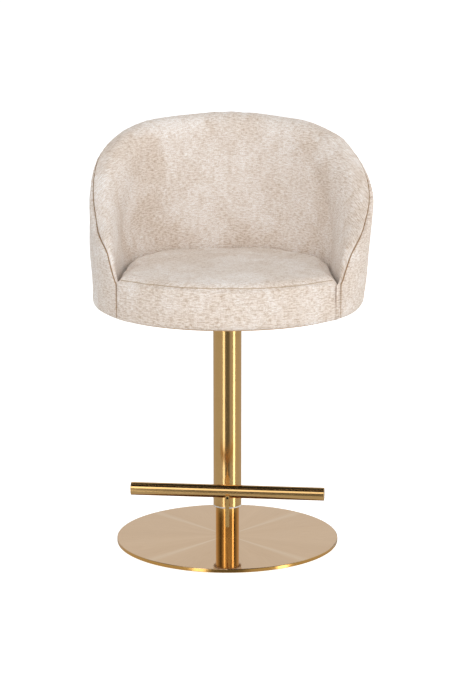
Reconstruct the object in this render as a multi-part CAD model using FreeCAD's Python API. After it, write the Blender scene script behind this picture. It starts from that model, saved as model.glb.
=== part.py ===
"""Swivel counter stool with a padded tub seat, a round weighted foot and a footrest bar on an arm.

Millimetres. The origin is on the floor, on the swivel axis. +Z is up, and the seat faces -Y.
The foot, the inner column and the lower half of the thrust bearing stand still. The outer tube
turns round the inner column on two plastic bushings, and carries the footrest and the seat.
"""

import math
import os

import FreeCAD
import Part
from FreeCAD import Vector

# ---- foot -------------------------------------------------------------------------------------
BASE_DIAMETER = 472.0
BASE_THICKNESS = 8.0
BASE_EDGE_ROUND = 1.2
PAD_DIAMETER = 440.0
PAD_THICKNESS = 1.0
FOOT_SCREW_COUNT = 3
FOOT_SCREW_CIRCLE = 26.0
FOOT_SCREW_DIAMETER = 8.0
FOOT_SCREW_LENGTH = 22.0
FOOT_PLUG_HEIGHT = 20.0

# ---- inner column and swivel bearing ----------------------------------------------------------
COLUMN_DIAMETER = 50.0
COLUMN_WALL = 3.0
COLUMN_SETBACK = 50.0
CAP_FLANGE = 6.0
CAP_SPIGOT = 14.0
RACE_BORE = 30.0
RACE_WIDTH = 8.5
RACE_THICKNESS = 3.0
BALL_DIAMETER = 6.0
BALL_COUNT = 14
BALL_SEAT_DEPTH = 1.0
CAGE_THICKNESS = 1.2
PIVOT_DIAMETER = 12.0
PIVOT_HEAD_DIAMETER = 22.0
PIVOT_HEAD_HEIGHT = 7.0
PIVOT_WASHER_THICKNESS = 2.0

# ---- outer tube -------------------------------------------------------------------------------
TUBE_WALL = 2.0
BUSHING_WALL = 3.0
TUBE_BOTTOM = 79.8
TUBE_TOP = 505.0
TUBE_HEAD_THICKNESS = 10.0
BUSHING_FLANGE = 3.0
LOWER_BUSHING_LENGTH = 38.0
UPPER_BUSHING_LENGTH = 30.0
UPPER_BUSHING_DROP = 12.0

# ---- footrest ---------------------------------------------------------------------------------
ARM_THICKNESS = 8.0
ARM_REACH = 182.0
ARM_BOTTOM = 82.0
ARM_TOP = 146.5
ARM_HORN_RISE = 2.5
BAR_DIAMETER = 27.0
BAR_WALL = 1.5
BAR_LENGTH = 400.0
BAR_SETBACK = 16.0
BAR_SADDLE_DEPTH = 5.7
BAR_SKEW_DEG = -6.4
BAR_CAP_THICKNESS = 2.0
BAR_CAP_SPIGOT = 12.0
BAR_SCREW_DIAMETER = 5.0
BAR_SCREW_LENGTH = 11.0
BAR_SCREW_DROP = 2.5

# ---- seat plate and its fasteners -------------------------------------------------------------
PLATE_SIDE = 200.0
PLATE_THICKNESS = 5.0
PLATE_CORNER = 18.0
PLATE_ACCESS_HOLE = 30.0
PLATE_HOLE_SPACING = 160.0
GUSSET_THICKNESS = 5.0
GUSSET_REACH = 58.0
GUSSET_HEIGHT = 36.0
SEAT_BOLT_DIAMETER = 8.0
SEAT_BOLT_LENGTH = 20.0
SEAT_BOLT_HEAD_DIAMETER = 14.0
SEAT_BOLT_HEAD_HEIGHT = 5.0
WASHER_DIAMETER = 18.0
WASHER_THICKNESS = 1.6

# ---- seat -------------------------------------------------------------------------------------
DUST_COVER_THICKNESS = 1.0
BOARD_THICKNESS = 18.0
SEAT_HALF_WIDTH = 216.0
SEAT_BACK_REACH = 200.0
SEAT_FRONT_HALF_WIDTH = 226.0
SEAT_FRONT_REACH = 283.0
CUSHION_HEIGHT = 77.0
CUSHION_EDGE_ROUND = 14.0
FABRIC = 2.0
BOARD_SETBACK = 8.0

# ---- tub shell --------------------------------------------------------------------------------
SHELL_RADIUS = 287.0
SHELL_FLARE = 12.0
SHELL_FLARE_START = 30.0
SHELL_FLARE_RISE = 195.0
SHELL_BOTTOM_ROUND = 24.0
BACK_RISE = 376.0
ARM_FRONT = 176.0
# The rim from the arm front to the back: Y, and the height above the underside of the seat.
RIM_POINTS = (
    (-ARM_FRONT, 80.0),
    (-150.0, 143.0),
    (-80.0, 186.0),
    (30.0, 255.0),
    (130.0, 318.0),
    (220.0, 355.0),
)
CAVITY_FLARE = 30.0
OUTER_PADDING = 10.0
FRAME_THICKNESS = 10.0
FRAME_RIM_DROP = 34.0
FRAME_LIFT = 7.0
FRAME_FRONT_PADDING = 14.0
FRAME_SCREW_COUNT = 7
FRAME_SCREW_DIAMETER = 4.5
FRAME_SCREW_HEAD = 8.0
FRAME_SCREW_RISE = 11.0
FRAME_SCREW_SINK = 0.5
FRAME_SCREW_LENGTH = 34.0
FRAME_SCREW_SPREAD_DEG = 100.0

# ---- clearances -------------------------------------------------------------------------------
RUNNING_CLEARANCE = 0.05
THREAD_CLEARANCE = 0.1
BOLT_CLEARANCE = 0.5
BALL_CLEARANCE = 0.05
HOLD_DOWN_GAP = 0.2
SOFT_GAP = 0.5

# ---- places that follow from the sizes above --------------------------------------------------
BASE_BOTTOM = PAD_THICKNESS
BASE_TOP = BASE_BOTTOM + BASE_THICKNESS
COLUMN_BORE = COLUMN_DIAMETER - 2 * COLUMN_WALL
TUBE_BORE = COLUMN_DIAMETER + 2 * BUSHING_WALL
TUBE_DIAMETER = TUBE_BORE + 2 * TUBE_WALL
COLUMN_TOP = TUBE_TOP - COLUMN_SETBACK
RACE_DIAMETER = RACE_BORE + 2 * RACE_WIDTH
CAP_TOP = COLUMN_TOP + CAP_FLANGE
LOWER_RACE_TOP = CAP_TOP + RACE_THICKNESS
BALL_CENTRE = LOWER_RACE_TOP - BALL_SEAT_DEPTH + BALL_DIAMETER / 2
UPPER_RACE_BOTTOM = BALL_CENTRE + BALL_DIAMETER / 2 - BALL_SEAT_DEPTH + BALL_CLEARANCE
TUBE_HEAD_BOTTOM = UPPER_RACE_BOTTOM + RACE_THICKNESS
TUBE_HEAD_TOP = TUBE_HEAD_BOTTOM + TUBE_HEAD_THICKNESS
BAR_REACH = ARM_REACH - BAR_SETBACK
BAR_HEIGHT = ARM_TOP - BAR_SADDLE_DEPTH + BAR_DIAMETER / 2
BAR_SCREW_HEIGHT = ARM_TOP - BAR_SCREW_DROP
PLATE_TOP = TUBE_TOP + PLATE_THICKNESS
SEAT_BOTTOM = PLATE_TOP
BOARD_BOTTOM = SEAT_BOTTOM + DUST_COVER_THICKNESS
BOARD_TOP = BOARD_BOTTOM + BOARD_THICKNESS
CUSHION_TOP = BOARD_TOP + CUSHION_HEIGHT
BACK_TOP = SEAT_BOTTOM + BACK_RISE
FRAME_OUTSET = FABRIC + OUTER_PADDING
FRAME_INSET = FRAME_OUTSET + FRAME_THICKNESS
BOARD_RADIUS = SHELL_RADIUS - FRAME_INSET - SOFT_GAP
CUT = 400.0


# ---- small helpers ----------------------------------------------------------------------------
def cylinder(diameter, bottom, top, x=0.0, y=0.0):
    """A vertical cylinder between two heights."""
    return Part.makeCylinder(diameter / 2, top - bottom, Vector(x, y, bottom))


def ring(outer, bore, bottom, top, x=0.0, y=0.0):
    """A vertical cylinder with a hole through it."""
    return cylinder(outer, bottom, top, x, y).cut(cylinder(bore, bottom - 1, top + 1, x, y))


def hex_prism(across_flats, bottom, top, x=0.0, y=0.0):
    """A vertical hexagonal prism."""
    radius = across_flats / math.sqrt(3)
    corners = [
        Vector(x + radius * math.cos(i * math.pi / 3), y + radius * math.sin(i * math.pi / 3), bottom)
        for i in range(7)
    ]
    return Part.Face(Part.makePolygon(corners)).extrude(Vector(0, 0, top - bottom))


def on_circle(count, diameter, start_deg=0.0):
    """Points evenly spaced on a circle round the swivel axis."""
    for i in range(count):
        angle = math.radians(start_deg + 360.0 * i / count)
        yield diameter / 2 * math.cos(angle), diameter / 2 * math.sin(angle)


def plate_holes():
    """The four bolt places of the seat plate."""
    half = PLATE_HOLE_SPACING / 2
    for x in (-half, half):
        for y in (-half, half):
            yield x, y


def edges_at(shape, height):
    """The edges that lie at one height."""
    return [
        edge
        for edge in shape.Edges
        if abs(edge.BoundBox.ZMin - height) < 1e-6 and abs(edge.BoundBox.ZMax - height) < 1e-6
    ]


def grouped(shapes):
    """Several separate solids as one node."""
    return Part.makeCompound(list(shapes))


# ---- foot -------------------------------------------------------------------------------------
def base_pad():
    """Thin foam disc glued under the foot. It covers the screw heads."""
    return cylinder(PAD_DIAMETER, 0, PAD_THICKNESS)


def foot_screw_solid(x, y, oversize):
    """One countersunk screw, or its hole when oversize is above zero."""
    head_radius = FOOT_SCREW_DIAMETER + oversize
    shank_radius = FOOT_SCREW_DIAMETER / 2 + oversize
    head = Part.makeCone(
        head_radius, shank_radius, head_radius - shank_radius, Vector(x, y, BASE_BOTTOM)
    )
    length = FOOT_SCREW_LENGTH + 4 * oversize
    return head.fuse(cylinder(2 * shank_radius, BASE_BOTTOM, BASE_BOTTOM + length, x, y))


def foot_holes():
    """The screw holes of the foot and its plug."""
    return grouped(
        foot_screw_solid(x, y, THREAD_CLEARANCE)
        for x, y in on_circle(FOOT_SCREW_COUNT, FOOT_SCREW_CIRCLE)
    )


def base_plate():
    """Heavy steel disc with softened edges."""
    disc = cylinder(BASE_DIAMETER, BASE_BOTTOM, BASE_TOP)
    disc = disc.makeFillet(BASE_EDGE_ROUND, edges_at(disc, BASE_TOP) + edges_at(disc, BASE_BOTTOM))
    return disc.cut(foot_holes())


def foot_plug():
    """Tapped steel plug welded into the foot of the inner column."""
    return cylinder(COLUMN_BORE, BASE_TOP, BASE_TOP + FOOT_PLUG_HEIGHT).cut(foot_holes())


def base_screws():
    """Countersunk screws, from below into the plug."""
    key = FOOT_SCREW_DIAMETER * 0.6
    depth = FOOT_SCREW_DIAMETER * 0.4
    return grouped(
        foot_screw_solid(x, y, 0.0).cut(hex_prism(key, BASE_BOTTOM - 1, BASE_BOTTOM + depth, x, y))
        for x, y in on_circle(FOOT_SCREW_COUNT, FOOT_SCREW_CIRCLE)
    )


# ---- inner column and bearing -----------------------------------------------------------------
def inner_column():
    """Fixed tube that the outer tube turns on."""
    return ring(COLUMN_DIAMETER, COLUMN_BORE, BASE_TOP, COLUMN_TOP)


def column_cap():
    """Flanged plug in the top of the inner column, tapped for the pivot bolt."""
    flange = cylinder(COLUMN_DIAMETER, COLUMN_TOP, CAP_TOP)
    spigot = cylinder(COLUMN_BORE, COLUMN_TOP - CAP_SPIGOT, COLUMN_TOP)
    hole = cylinder(PIVOT_DIAMETER + 2 * THREAD_CLEARANCE, COLUMN_TOP - CAP_SPIGOT - 1, CAP_TOP + 1)
    return flange.fuse(spigot).removeSplitter().cut(hole)


def ball_track():
    """The circle that the ball centres run on."""
    return (RACE_BORE + RACE_DIAMETER) / 2


def race(bottom):
    """A washer with a round groove for the balls."""
    washer = ring(RACE_DIAMETER, RACE_BORE, bottom, bottom + RACE_THICKNESS)
    groove = Part.makeTorus(
        ball_track() / 2, BALL_DIAMETER / 2 + BALL_CLEARANCE, Vector(0, 0, BALL_CENTRE)
    )
    return washer.cut(groove)


def lower_race():
    """Still half of the thrust bearing."""
    return race(CAP_TOP)


def upper_race():
    """Turning half of the thrust bearing."""
    return race(UPPER_RACE_BOTTOM)


def bearing_balls():
    """Balls of the thrust bearing."""
    return grouped(
        Part.makeSphere(BALL_DIAMETER / 2, Vector(x, y, BALL_CENTRE))
        for x, y in on_circle(BALL_COUNT, ball_track())
    )


def ball_cage():
    """Thin ring that spaces the balls."""
    bottom = BALL_CENTRE - CAGE_THICKNESS / 2
    top = BALL_CENTRE + CAGE_THICKNESS / 2
    cage = ring(RACE_DIAMETER, RACE_BORE, bottom, top)
    pockets = grouped(
        cylinder(BALL_DIAMETER + 2 * THREAD_CLEARANCE, bottom - 1, top + 1, x, y)
        for x, y in on_circle(BALL_COUNT, ball_track())
    )
    return cage.cut(pockets)


def pivot_washer_bottom():
    """Height of the washer that holds the tube head down."""
    return TUBE_HEAD_TOP + HOLD_DOWN_GAP


def pivot_washer():
    """Washer under the head of the pivot bolt."""
    bottom = pivot_washer_bottom()
    bore = PIVOT_DIAMETER + 2 * THREAD_CLEARANCE
    return ring(PIVOT_HEAD_DIAMETER + 6, bore, bottom, bottom + PIVOT_WASHER_THICKNESS)


def pivot_bolt():
    """Socket bolt that keeps the outer tube from lifting off."""
    head_bottom = pivot_washer_bottom() + PIVOT_WASHER_THICKNESS
    head_top = head_bottom + PIVOT_HEAD_HEIGHT
    shank = cylinder(PIVOT_DIAMETER, COLUMN_TOP - CAP_SPIGOT, head_bottom)
    head = cylinder(PIVOT_HEAD_DIAMETER, head_bottom, head_top)
    socket = hex_prism(PIVOT_DIAMETER * 0.7, head_top - PIVOT_HEAD_HEIGHT * 0.6, head_top + 1)
    return shank.fuse(head).removeSplitter().cut(socket)


# ---- outer tube -------------------------------------------------------------------------------
def outer_tube():
    """Turning tube between the footrest and the seat."""
    return ring(TUBE_DIAMETER, TUBE_BORE, TUBE_BOTTOM, TUBE_TOP)


def tube_head():
    """Disc welded inside the tube. It rests on the bearing."""
    hole = PIVOT_DIAMETER + 2 * BOLT_CLEARANCE
    return ring(TUBE_BORE, hole, TUBE_HEAD_BOTTOM, TUBE_HEAD_TOP)


def lower_bushing():
    """Flanged plastic bushing. Its flange shows as a pale ring under the tube."""
    bore = COLUMN_DIAMETER + 2 * RUNNING_CLEARANCE
    flange = cylinder(TUBE_DIAMETER, TUBE_BOTTOM - BUSHING_FLANGE, TUBE_BOTTOM)
    flange = flange.makeFillet(BUSHING_FLANGE * 0.25, flange.Edges[:1])
    sleeve = cylinder(TUBE_BORE, TUBE_BOTTOM, TUBE_BOTTOM + LOWER_BUSHING_LENGTH)
    hole = cylinder(bore, TUBE_BOTTOM - CUT, TUBE_BOTTOM + CUT)
    return flange.fuse(sleeve).removeSplitter().cut(hole)


def upper_bushing():
    """Plain plastic bushing near the top of the inner column."""
    top = COLUMN_TOP - UPPER_BUSHING_DROP
    bore = COLUMN_DIAMETER + 2 * RUNNING_CLEARANCE
    return ring(TUBE_BORE, bore, top - UPPER_BUSHING_LENGTH, top)


# ---- footrest ---------------------------------------------------------------------------------
def along_bar(shape):
    """Turns a shape made along +X at the origin to the bar's place."""
    shape.rotate(Vector(0, 0, 0), Vector(0, 0, 1), BAR_SKEW_DEG)
    shape.translate(Vector(0, -BAR_REACH, BAR_HEIGHT))
    return shape


def bar_cylinder(diameter, start, end):
    """A cylinder on the bar's axis between two places along it."""
    return along_bar(Part.makeCylinder(diameter / 2, end - start, Vector(start, 0, 0), Vector(1, 0, 0)))


def bar_screw_cylinder(diameter, length):
    """A cylinder on the set screw's axis, from the arm's front face inwards."""
    start = Vector(0, -ARM_REACH, BAR_SCREW_HEIGHT)
    return Part.makeCylinder(diameter / 2, length, start, Vector(0, 1, 0))


def footrest_arm():
    """Upright plate from the outer tube to the bar, with a saddle and a horn for the set screw."""
    back = -TUBE_DIAMETER / 2 + TUBE_WALL
    corners = [
        (-ARM_REACH, ARM_BOTTOM),
        (back, ARM_BOTTOM),
        (back, ARM_TOP),
        (-BAR_REACH, ARM_TOP),
        (-BAR_REACH, ARM_TOP + ARM_HORN_RISE),
        (-ARM_REACH, ARM_TOP + ARM_HORN_RISE),
        (-ARM_REACH, ARM_BOTTOM),
    ]
    outline = Part.makePolygon([Vector(-ARM_THICKNESS / 2, y, z) for y, z in corners])
    plate = Part.Face(outline).extrude(Vector(ARM_THICKNESS, 0, 0))
    plate = plate.cut(cylinder(TUBE_DIAMETER, ARM_BOTTOM - 1, ARM_TOP + 1))
    saddle = bar_cylinder(BAR_DIAMETER, -BAR_LENGTH / 2, BAR_LENGTH / 2)
    hole = bar_screw_cylinder(BAR_SCREW_DIAMETER + 2 * THREAD_CLEARANCE, ARM_REACH - BAR_REACH)
    plate = plate.cut(saddle).cut(hole)
    return max(plate.Solids, key=lambda solid: solid.Volume)


def footrest_bar():
    """Straight tube across the front of the stool."""
    half = BAR_LENGTH / 2 - BAR_CAP_THICKNESS
    tube = bar_cylinder(BAR_DIAMETER, -half, half)
    bore = bar_cylinder(BAR_DIAMETER - 2 * BAR_WALL, -BAR_LENGTH, BAR_LENGTH)
    hole = bar_screw_cylinder(BAR_SCREW_DIAMETER + 2 * THREAD_CLEARANCE, ARM_REACH - BAR_REACH)
    return tube.cut(bore).cut(hole)


def bar_cap(side):
    """Push-in end cap of the bar. side is -1 or 1."""
    half = BAR_LENGTH / 2
    disc = Part.makeCylinder(
        BAR_DIAMETER / 2, BAR_CAP_THICKNESS, Vector(half - BAR_CAP_THICKNESS, 0, 0), Vector(1, 0, 0)
    )
    rim = [edge for edge in disc.Edges if edge.BoundBox.XMin > half - 1e-6]
    disc = disc.makeFillet(BAR_CAP_THICKNESS * 0.5, rim)
    spigot = Part.makeCylinder(
        BAR_DIAMETER / 2 - BAR_WALL,
        BAR_CAP_SPIGOT,
        Vector(half - BAR_CAP_THICKNESS - BAR_CAP_SPIGOT, 0, 0),
        Vector(1, 0, 0),
    )
    cap = disc.fuse(spigot).removeSplitter()
    if side < 0:
        cap.rotate(Vector(0, 0, 0), Vector(0, 0, 1), 180)
    return along_bar(cap)


def footrest_cap_left():
    """End cap at -X."""
    return bar_cap(-1)


def footrest_cap_right():
    """End cap at +X."""
    return bar_cap(1)


def footrest_screw():
    """Set screw that locks the bar in the saddle."""
    body = bar_screw_cylinder(BAR_SCREW_DIAMETER, BAR_SCREW_LENGTH)
    key = hex_prism(BAR_SCREW_DIAMETER * 0.5, -1, BAR_SCREW_DIAMETER * 0.5)
    key.rotate(Vector(0, 0, 0), Vector(1, 0, 0), -90)
    key.translate(Vector(0, -ARM_REACH, BAR_SCREW_HEIGHT))
    return body.cut(key)


# ---- seat plate and fasteners -----------------------------------------------------------------
def seat_plate():
    """Square steel plate welded on the outer tube, under the seat."""
    half = PLATE_SIDE / 2
    plate = Part.makeBox(PLATE_SIDE, PLATE_SIDE, PLATE_THICKNESS, Vector(-half, -half, TUBE_TOP))
    corners = [
        edge
        for edge in plate.Edges
        if edge.BoundBox.ZLength > PLATE_THICKNESS / 2
    ]
    plate = plate.makeFillet(PLATE_CORNER, corners)
    plate = plate.cut(cylinder(PLATE_ACCESS_HOLE, TUBE_TOP - 1, PLATE_TOP + 1))
    hole = SEAT_BOLT_DIAMETER + 2 * BOLT_CLEARANCE
    for x, y in plate_holes():
        plate = plate.cut(cylinder(hole, TUBE_TOP - 1, PLATE_TOP + 1, x, y))
    return plate


def plate_gussets():
    """Four triangular ribs between the tube and the seat plate."""
    inner = TUBE_DIAMETER / 2 - TUBE_WALL / 2
    outer = TUBE_DIAMETER / 2 + GUSSET_REACH
    outline = [
        Vector(inner, -GUSSET_THICKNESS / 2, TUBE_TOP),
        Vector(outer, -GUSSET_THICKNESS / 2, TUBE_TOP),
        Vector(outer, -GUSSET_THICKNESS / 2, TUBE_TOP - GUSSET_THICKNESS),
        Vector(inner, -GUSSET_THICKNESS / 2, TUBE_TOP - GUSSET_HEIGHT),
    ]
    rib = Part.Face(Part.makePolygon(outline + outline[:1])).extrude(Vector(0, GUSSET_THICKNESS, 0))
    rib = rib.cut(cylinder(TUBE_DIAMETER, TUBE_TOP - CUT, TUBE_TOP + 1))
    ribs = []
    for quarter in range(4):
        copy = rib.copy()
        copy.rotate(Vector(0, 0, 0), Vector(0, 0, 1), 90 * quarter)
        ribs.append(copy)
    return grouped(ribs)


def seat_bolts():
    """Bolts through the seat plate into the board."""
    head_top = TUBE_TOP - WASHER_THICKNESS
    head_bottom = head_top - SEAT_BOLT_HEAD_HEIGHT
    bolts = []
    for x, y in plate_holes():
        head = cylinder(SEAT_BOLT_HEAD_DIAMETER, head_bottom, head_top, x, y)
        head = head.makeFillet(SEAT_BOLT_HEAD_HEIGHT * 0.4, edges_at(head, head_bottom))
        shank = cylinder(SEAT_BOLT_DIAMETER, head_top, head_top + SEAT_BOLT_LENGTH, x, y)
        key = hex_prism(SEAT_BOLT_DIAMETER * 0.6, head_bottom - 1, head_bottom + 3, x, y)
        bolts.append(head.fuse(shank).removeSplitter().cut(key))
    return grouped(bolts)


def seat_washers():
    """Washers under the heads of the seat bolts."""
    bore = SEAT_BOLT_DIAMETER + 2 * THREAD_CLEARANCE
    return grouped(
        ring(WASHER_DIAMETER, bore, TUBE_TOP - WASHER_THICKNESS, TUBE_TOP, x, y)
        for x, y in plate_holes()
    )


TEE_NUT_BARREL = 11.0
TEE_NUT_FLANGE = 22.0
TEE_NUT_FLANGE_THICKNESS = 1.5
TEE_NUT_DEPTH = 14.0


def tee_nuts():
    """Threaded inserts, pressed into the board from above."""
    bore = SEAT_BOLT_DIAMETER + 2 * THREAD_CLEARANCE
    nuts = []
    for x, y in plate_holes():
        barrel = cylinder(TEE_NUT_BARREL, BOARD_TOP - TEE_NUT_DEPTH, BOARD_TOP, x, y)
        flange = cylinder(TEE_NUT_FLANGE, BOARD_TOP - TEE_NUT_FLANGE_THICKNESS, BOARD_TOP, x, y)
        hole = cylinder(bore, BOARD_BOTTOM, BOARD_TOP + 1, x, y)
        nuts.append(barrel.fuse(flange).removeSplitter().cut(hole))
    return grouped(nuts)


# ---- seat -------------------------------------------------------------------------------------
def cushion_outline(height, inset=0.0):
    """Closed plan outline of the cushion: round front, nearly straight sides, round back."""
    half = SEAT_HALF_WIDTH - inset
    front_half = SEAT_FRONT_HALF_WIDTH - inset
    front_corner = Vector(front_half, -ARM_FRONT, height)
    side = Vector(half, 0, height)
    mirrored = Vector(-front_half, -ARM_FRONT, height), Vector(-half, 0, height)
    front = Part.Arc(mirrored[0], Vector(0, inset - SEAT_FRONT_REACH, height), front_corner)
    right = Part.LineSegment(front_corner, side)
    back = Part.Arc(side, Vector(0, SEAT_BACK_REACH - inset, height), mirrored[1])
    left = Part.LineSegment(mirrored[1], mirrored[0])
    return Part.Wire([curve.toShape() for curve in (front, right, back, left)])


def cushion_block(bottom, top, inset=0.0):
    """The cushion's plan between two heights, with a rounded top edge."""
    block = Part.Face(cushion_outline(bottom, inset)).extrude(Vector(0, 0, top - bottom))
    return block.makeFillet(CUSHION_EDGE_ROUND - inset, edges_at(block, top))


def board_plan(bottom, top, grow=0.0):
    """The board's plan between two heights: a disc, cut back behind the cushion's front."""
    disc = cylinder(2 * (BOARD_RADIUS + grow), bottom, top)
    front = Part.Face(cushion_outline(bottom, BOARD_SETBACK - grow)).extrude(Vector(0, 0, top - bottom))
    start = BOARD_SETBACK - grow - ARM_FRONT
    rear = Part.makeBox(2 * CUT, 2 * CUT, top - bottom, Vector(-CUT, start, bottom))
    return disc.common(front.fuse(rear)).removeSplitter()


def seat_board():
    """Plywood board that carries the cushion and the tub."""
    board = board_plan(BOARD_BOTTOM, BOARD_TOP)
    hole = SEAT_BOLT_DIAMETER + 2 * BOLT_CLEARANCE
    for x, y in plate_holes():
        board = board.cut(cylinder(hole, BOARD_BOTTOM - 1, BOARD_TOP + 1, x, y))
        board = board.cut(cylinder(TEE_NUT_BARREL, BOARD_TOP - TEE_NUT_DEPTH, BOARD_TOP + 1, x, y))
        flange_bottom = BOARD_TOP - TEE_NUT_FLANGE_THICKNESS
        board = board.cut(cylinder(TEE_NUT_FLANGE, flange_bottom, BOARD_TOP + 1, x, y))
    return board.cut(frame_screw_solids(THREAD_CLEARANCE))


def dust_cover():
    """Thin cloth under the board."""
    cloth = board_plan(SEAT_BOTTOM, BOARD_BOTTOM)
    hole = SEAT_BOLT_DIAMETER + 2 * BOLT_CLEARANCE
    for x, y in plate_holes():
        cloth = cloth.cut(cylinder(hole, SEAT_BOTTOM - 1, BOARD_BOTTOM + 1, x, y))
    return cloth


def seat_foam():
    """Foam of the cushion, on the board."""
    return cushion_block(BOARD_TOP, CUSHION_TOP - FABRIC, FABRIC)


def seat_cover():
    """Fabric over the cushion, down over the board's front edge."""
    skin = cushion_block(BOARD_TOP, CUSHION_TOP).cut(seat_foam())
    skirt = Part.Face(cushion_outline(SEAT_BOTTOM)).extrude(Vector(0, 0, BOARD_TOP - SEAT_BOTTOM))
    skirt = skirt.cut(board_plan(SEAT_BOTTOM - 1, BOARD_TOP + 1, SOFT_GAP))
    return skin.fuse(skirt).removeSplitter()


# ---- tub shell --------------------------------------------------------------------------------
def shell_body(inset, lift, rounding=0.0):
    """Solid of revolution inside the tub's outer face.

    inset moves its side in, and lift moves its underside up. rounding is its bottom edge's radius.
    """
    low = SHELL_RADIUS - inset
    high = low + SHELL_FLARE
    bottom = SEAT_BOTTOM + lift
    flare_start = SEAT_BOTTOM + SHELL_FLARE_START
    flare_end = flare_start + SHELL_FLARE_RISE
    top = BACK_TOP + CUT / 4
    slack = rounding * (1 - math.sqrt(0.5))
    corners = [
        Vector(low, 0, bottom + rounding),
        Vector(low, 0, flare_start),
        Vector(high, 0, flare_end),
        Vector(high, 0, top),
        Vector(0, 0, top),
        Vector(0, 0, bottom),
        Vector(low - rounding, 0, bottom),
    ]
    edges = [Part.makeLine(a, b) for a, b in zip(corners, corners[1:])]
    if rounding:
        turn = Part.Arc(corners[-1], Vector(low - slack, 0, bottom + slack), corners[0])
        edges.append(turn.toShape())
    return Part.Face(Part.Wire(edges)).revolve(Vector(0, 0, 0), Vector(0, 0, 1), 360)


def padded_body():
    """The tub inside its outer cover."""
    return shell_body(FABRIC, FABRIC, SHELL_BOTTOM_ROUND - FABRIC)


def framed_body():
    """The tub inside its outer padding."""
    return shell_body(FRAME_OUTSET, FRAME_LIFT)


def above_rim(drop=0.0):
    """Everything above the rim line and in front of the arms, moved back and down by drop."""
    side = -2 * CUT
    points = [Vector(side, y, SEAT_BOTTOM + rise) for y, rise in RIM_POINTS]
    points.append(Vector(side, SHELL_RADIUS + SHELL_FLARE, BACK_TOP))
    spline = Part.BSplineCurve()
    spline.interpolate(points)
    far = 3 * CUT
    corners = [
        points[-1],
        Vector(side, far, BACK_TOP),
        Vector(side, far, BACK_TOP + far),
        Vector(side, -far, BACK_TOP + far),
        Vector(side, -far, 0),
        Vector(side, points[0].y, 0),
        points[0],
    ]
    edges = [spline.toShape()] + [Part.makeLine(a, b) for a, b in zip(corners, corners[1:])]
    block = Part.Face(Part.Wire(edges)).extrude(Vector(-2 * side, 0, 0))
    block.translate(Vector(0, drop, -drop))
    return block


def cavity_outline(height, grow):
    """Plan of the hollow inside the tub, open towards the front."""
    half = SEAT_HALF_WIDTH + grow
    slope = (SEAT_FRONT_HALF_WIDTH - SEAT_HALF_WIDTH) / ARM_FRONT
    reach = 2 * ARM_FRONT
    front_right = Vector(half + slope * reach, -reach, height)
    front_left = Vector(-front_right.x, -reach, height)
    right = Vector(half, 0, height)
    left = Vector(-half, 0, height)
    edges = [
        Part.makeLine(front_left, front_right),
        Part.makeLine(front_right, right),
        Part.Arc(right, Vector(0, SEAT_BACK_REACH + grow, height), left).toShape(),
        Part.makeLine(left, front_left),
    ]
    return Part.Wire(edges)


def cavity(outset=0.0):
    """The hollow inside the tub, which flares towards the top. outset makes it larger."""
    bottom = SEAT_BOTTOM - 1
    top = BACK_TOP + CUT / 4
    flare = CAVITY_FLARE * (top - bottom) / (BACK_TOP - BOARD_TOP)
    wires = [cavity_outline(bottom, outset), cavity_outline(top, outset + flare)]
    return Part.makeLoft(wires, True, True)


def largest(shape):
    """The main solid of a cut, without the scraps."""
    return max(shape.Solids, key=lambda solid: solid.Volume)


def behind_front(shape):
    """A stiff layer of the tub, kept back from the rim and from the hollow."""
    return shape.cut(above_rim(FRAME_RIM_DROP)).cut(cavity(FRAME_FRONT_PADDING))


def around_board(shape):
    """A layer of the tub without what the board takes up."""
    return shape.cut(cylinder(2 * (BOARD_RADIUS + SOFT_GAP), SEAT_BOTTOM - 1, BOARD_TOP))


def outer_cover():
    """Fabric on the outside of the tub, turned in under its bottom edge."""
    skin = shell_body(0.0, 0.0, SHELL_BOTTOM_ROUND).cut(padded_body())
    return largest(around_board(skin.cut(above_rim(FABRIC)).cut(cavity(FABRIC))))


def outer_padding():
    """Thin foam between the frame and the outer cover."""
    layer = behind_front(padded_body().cut(framed_body()))
    return largest(around_board(layer))


def frame_blank():
    """The frame before its screw holes are drilled."""
    core = shell_body(FRAME_INSET, -FRAME_THICKNESS)
    return largest(behind_front(framed_body().cut(core)))


def shell_frame():
    """Bent plywood tub that the padding is glued to."""
    return frame_blank().cut(frame_screw_solids(THREAD_CLEARANCE))


def inner_body(rim_drop, outset):
    """The tub inside its outer cover, round the hollow and the board."""
    body = padded_body().cut(above_rim(rim_drop)).cut(cavity(outset))
    return body.cut(board_plan(SEAT_BOTTOM, BOARD_TOP, SOFT_GAP))


def inner_padding():
    """Thick foam inside the tub and over its rim."""
    return largest(inner_body(FABRIC, FABRIC).cut(outer_padding()).cut(frame_blank()))


def inner_cover():
    """Fabric on the inside of the tub, over its rim and its arm fronts."""
    return largest(inner_body(0.0, 0.0).cut(inner_body(FABRIC, FABRIC)))


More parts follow.
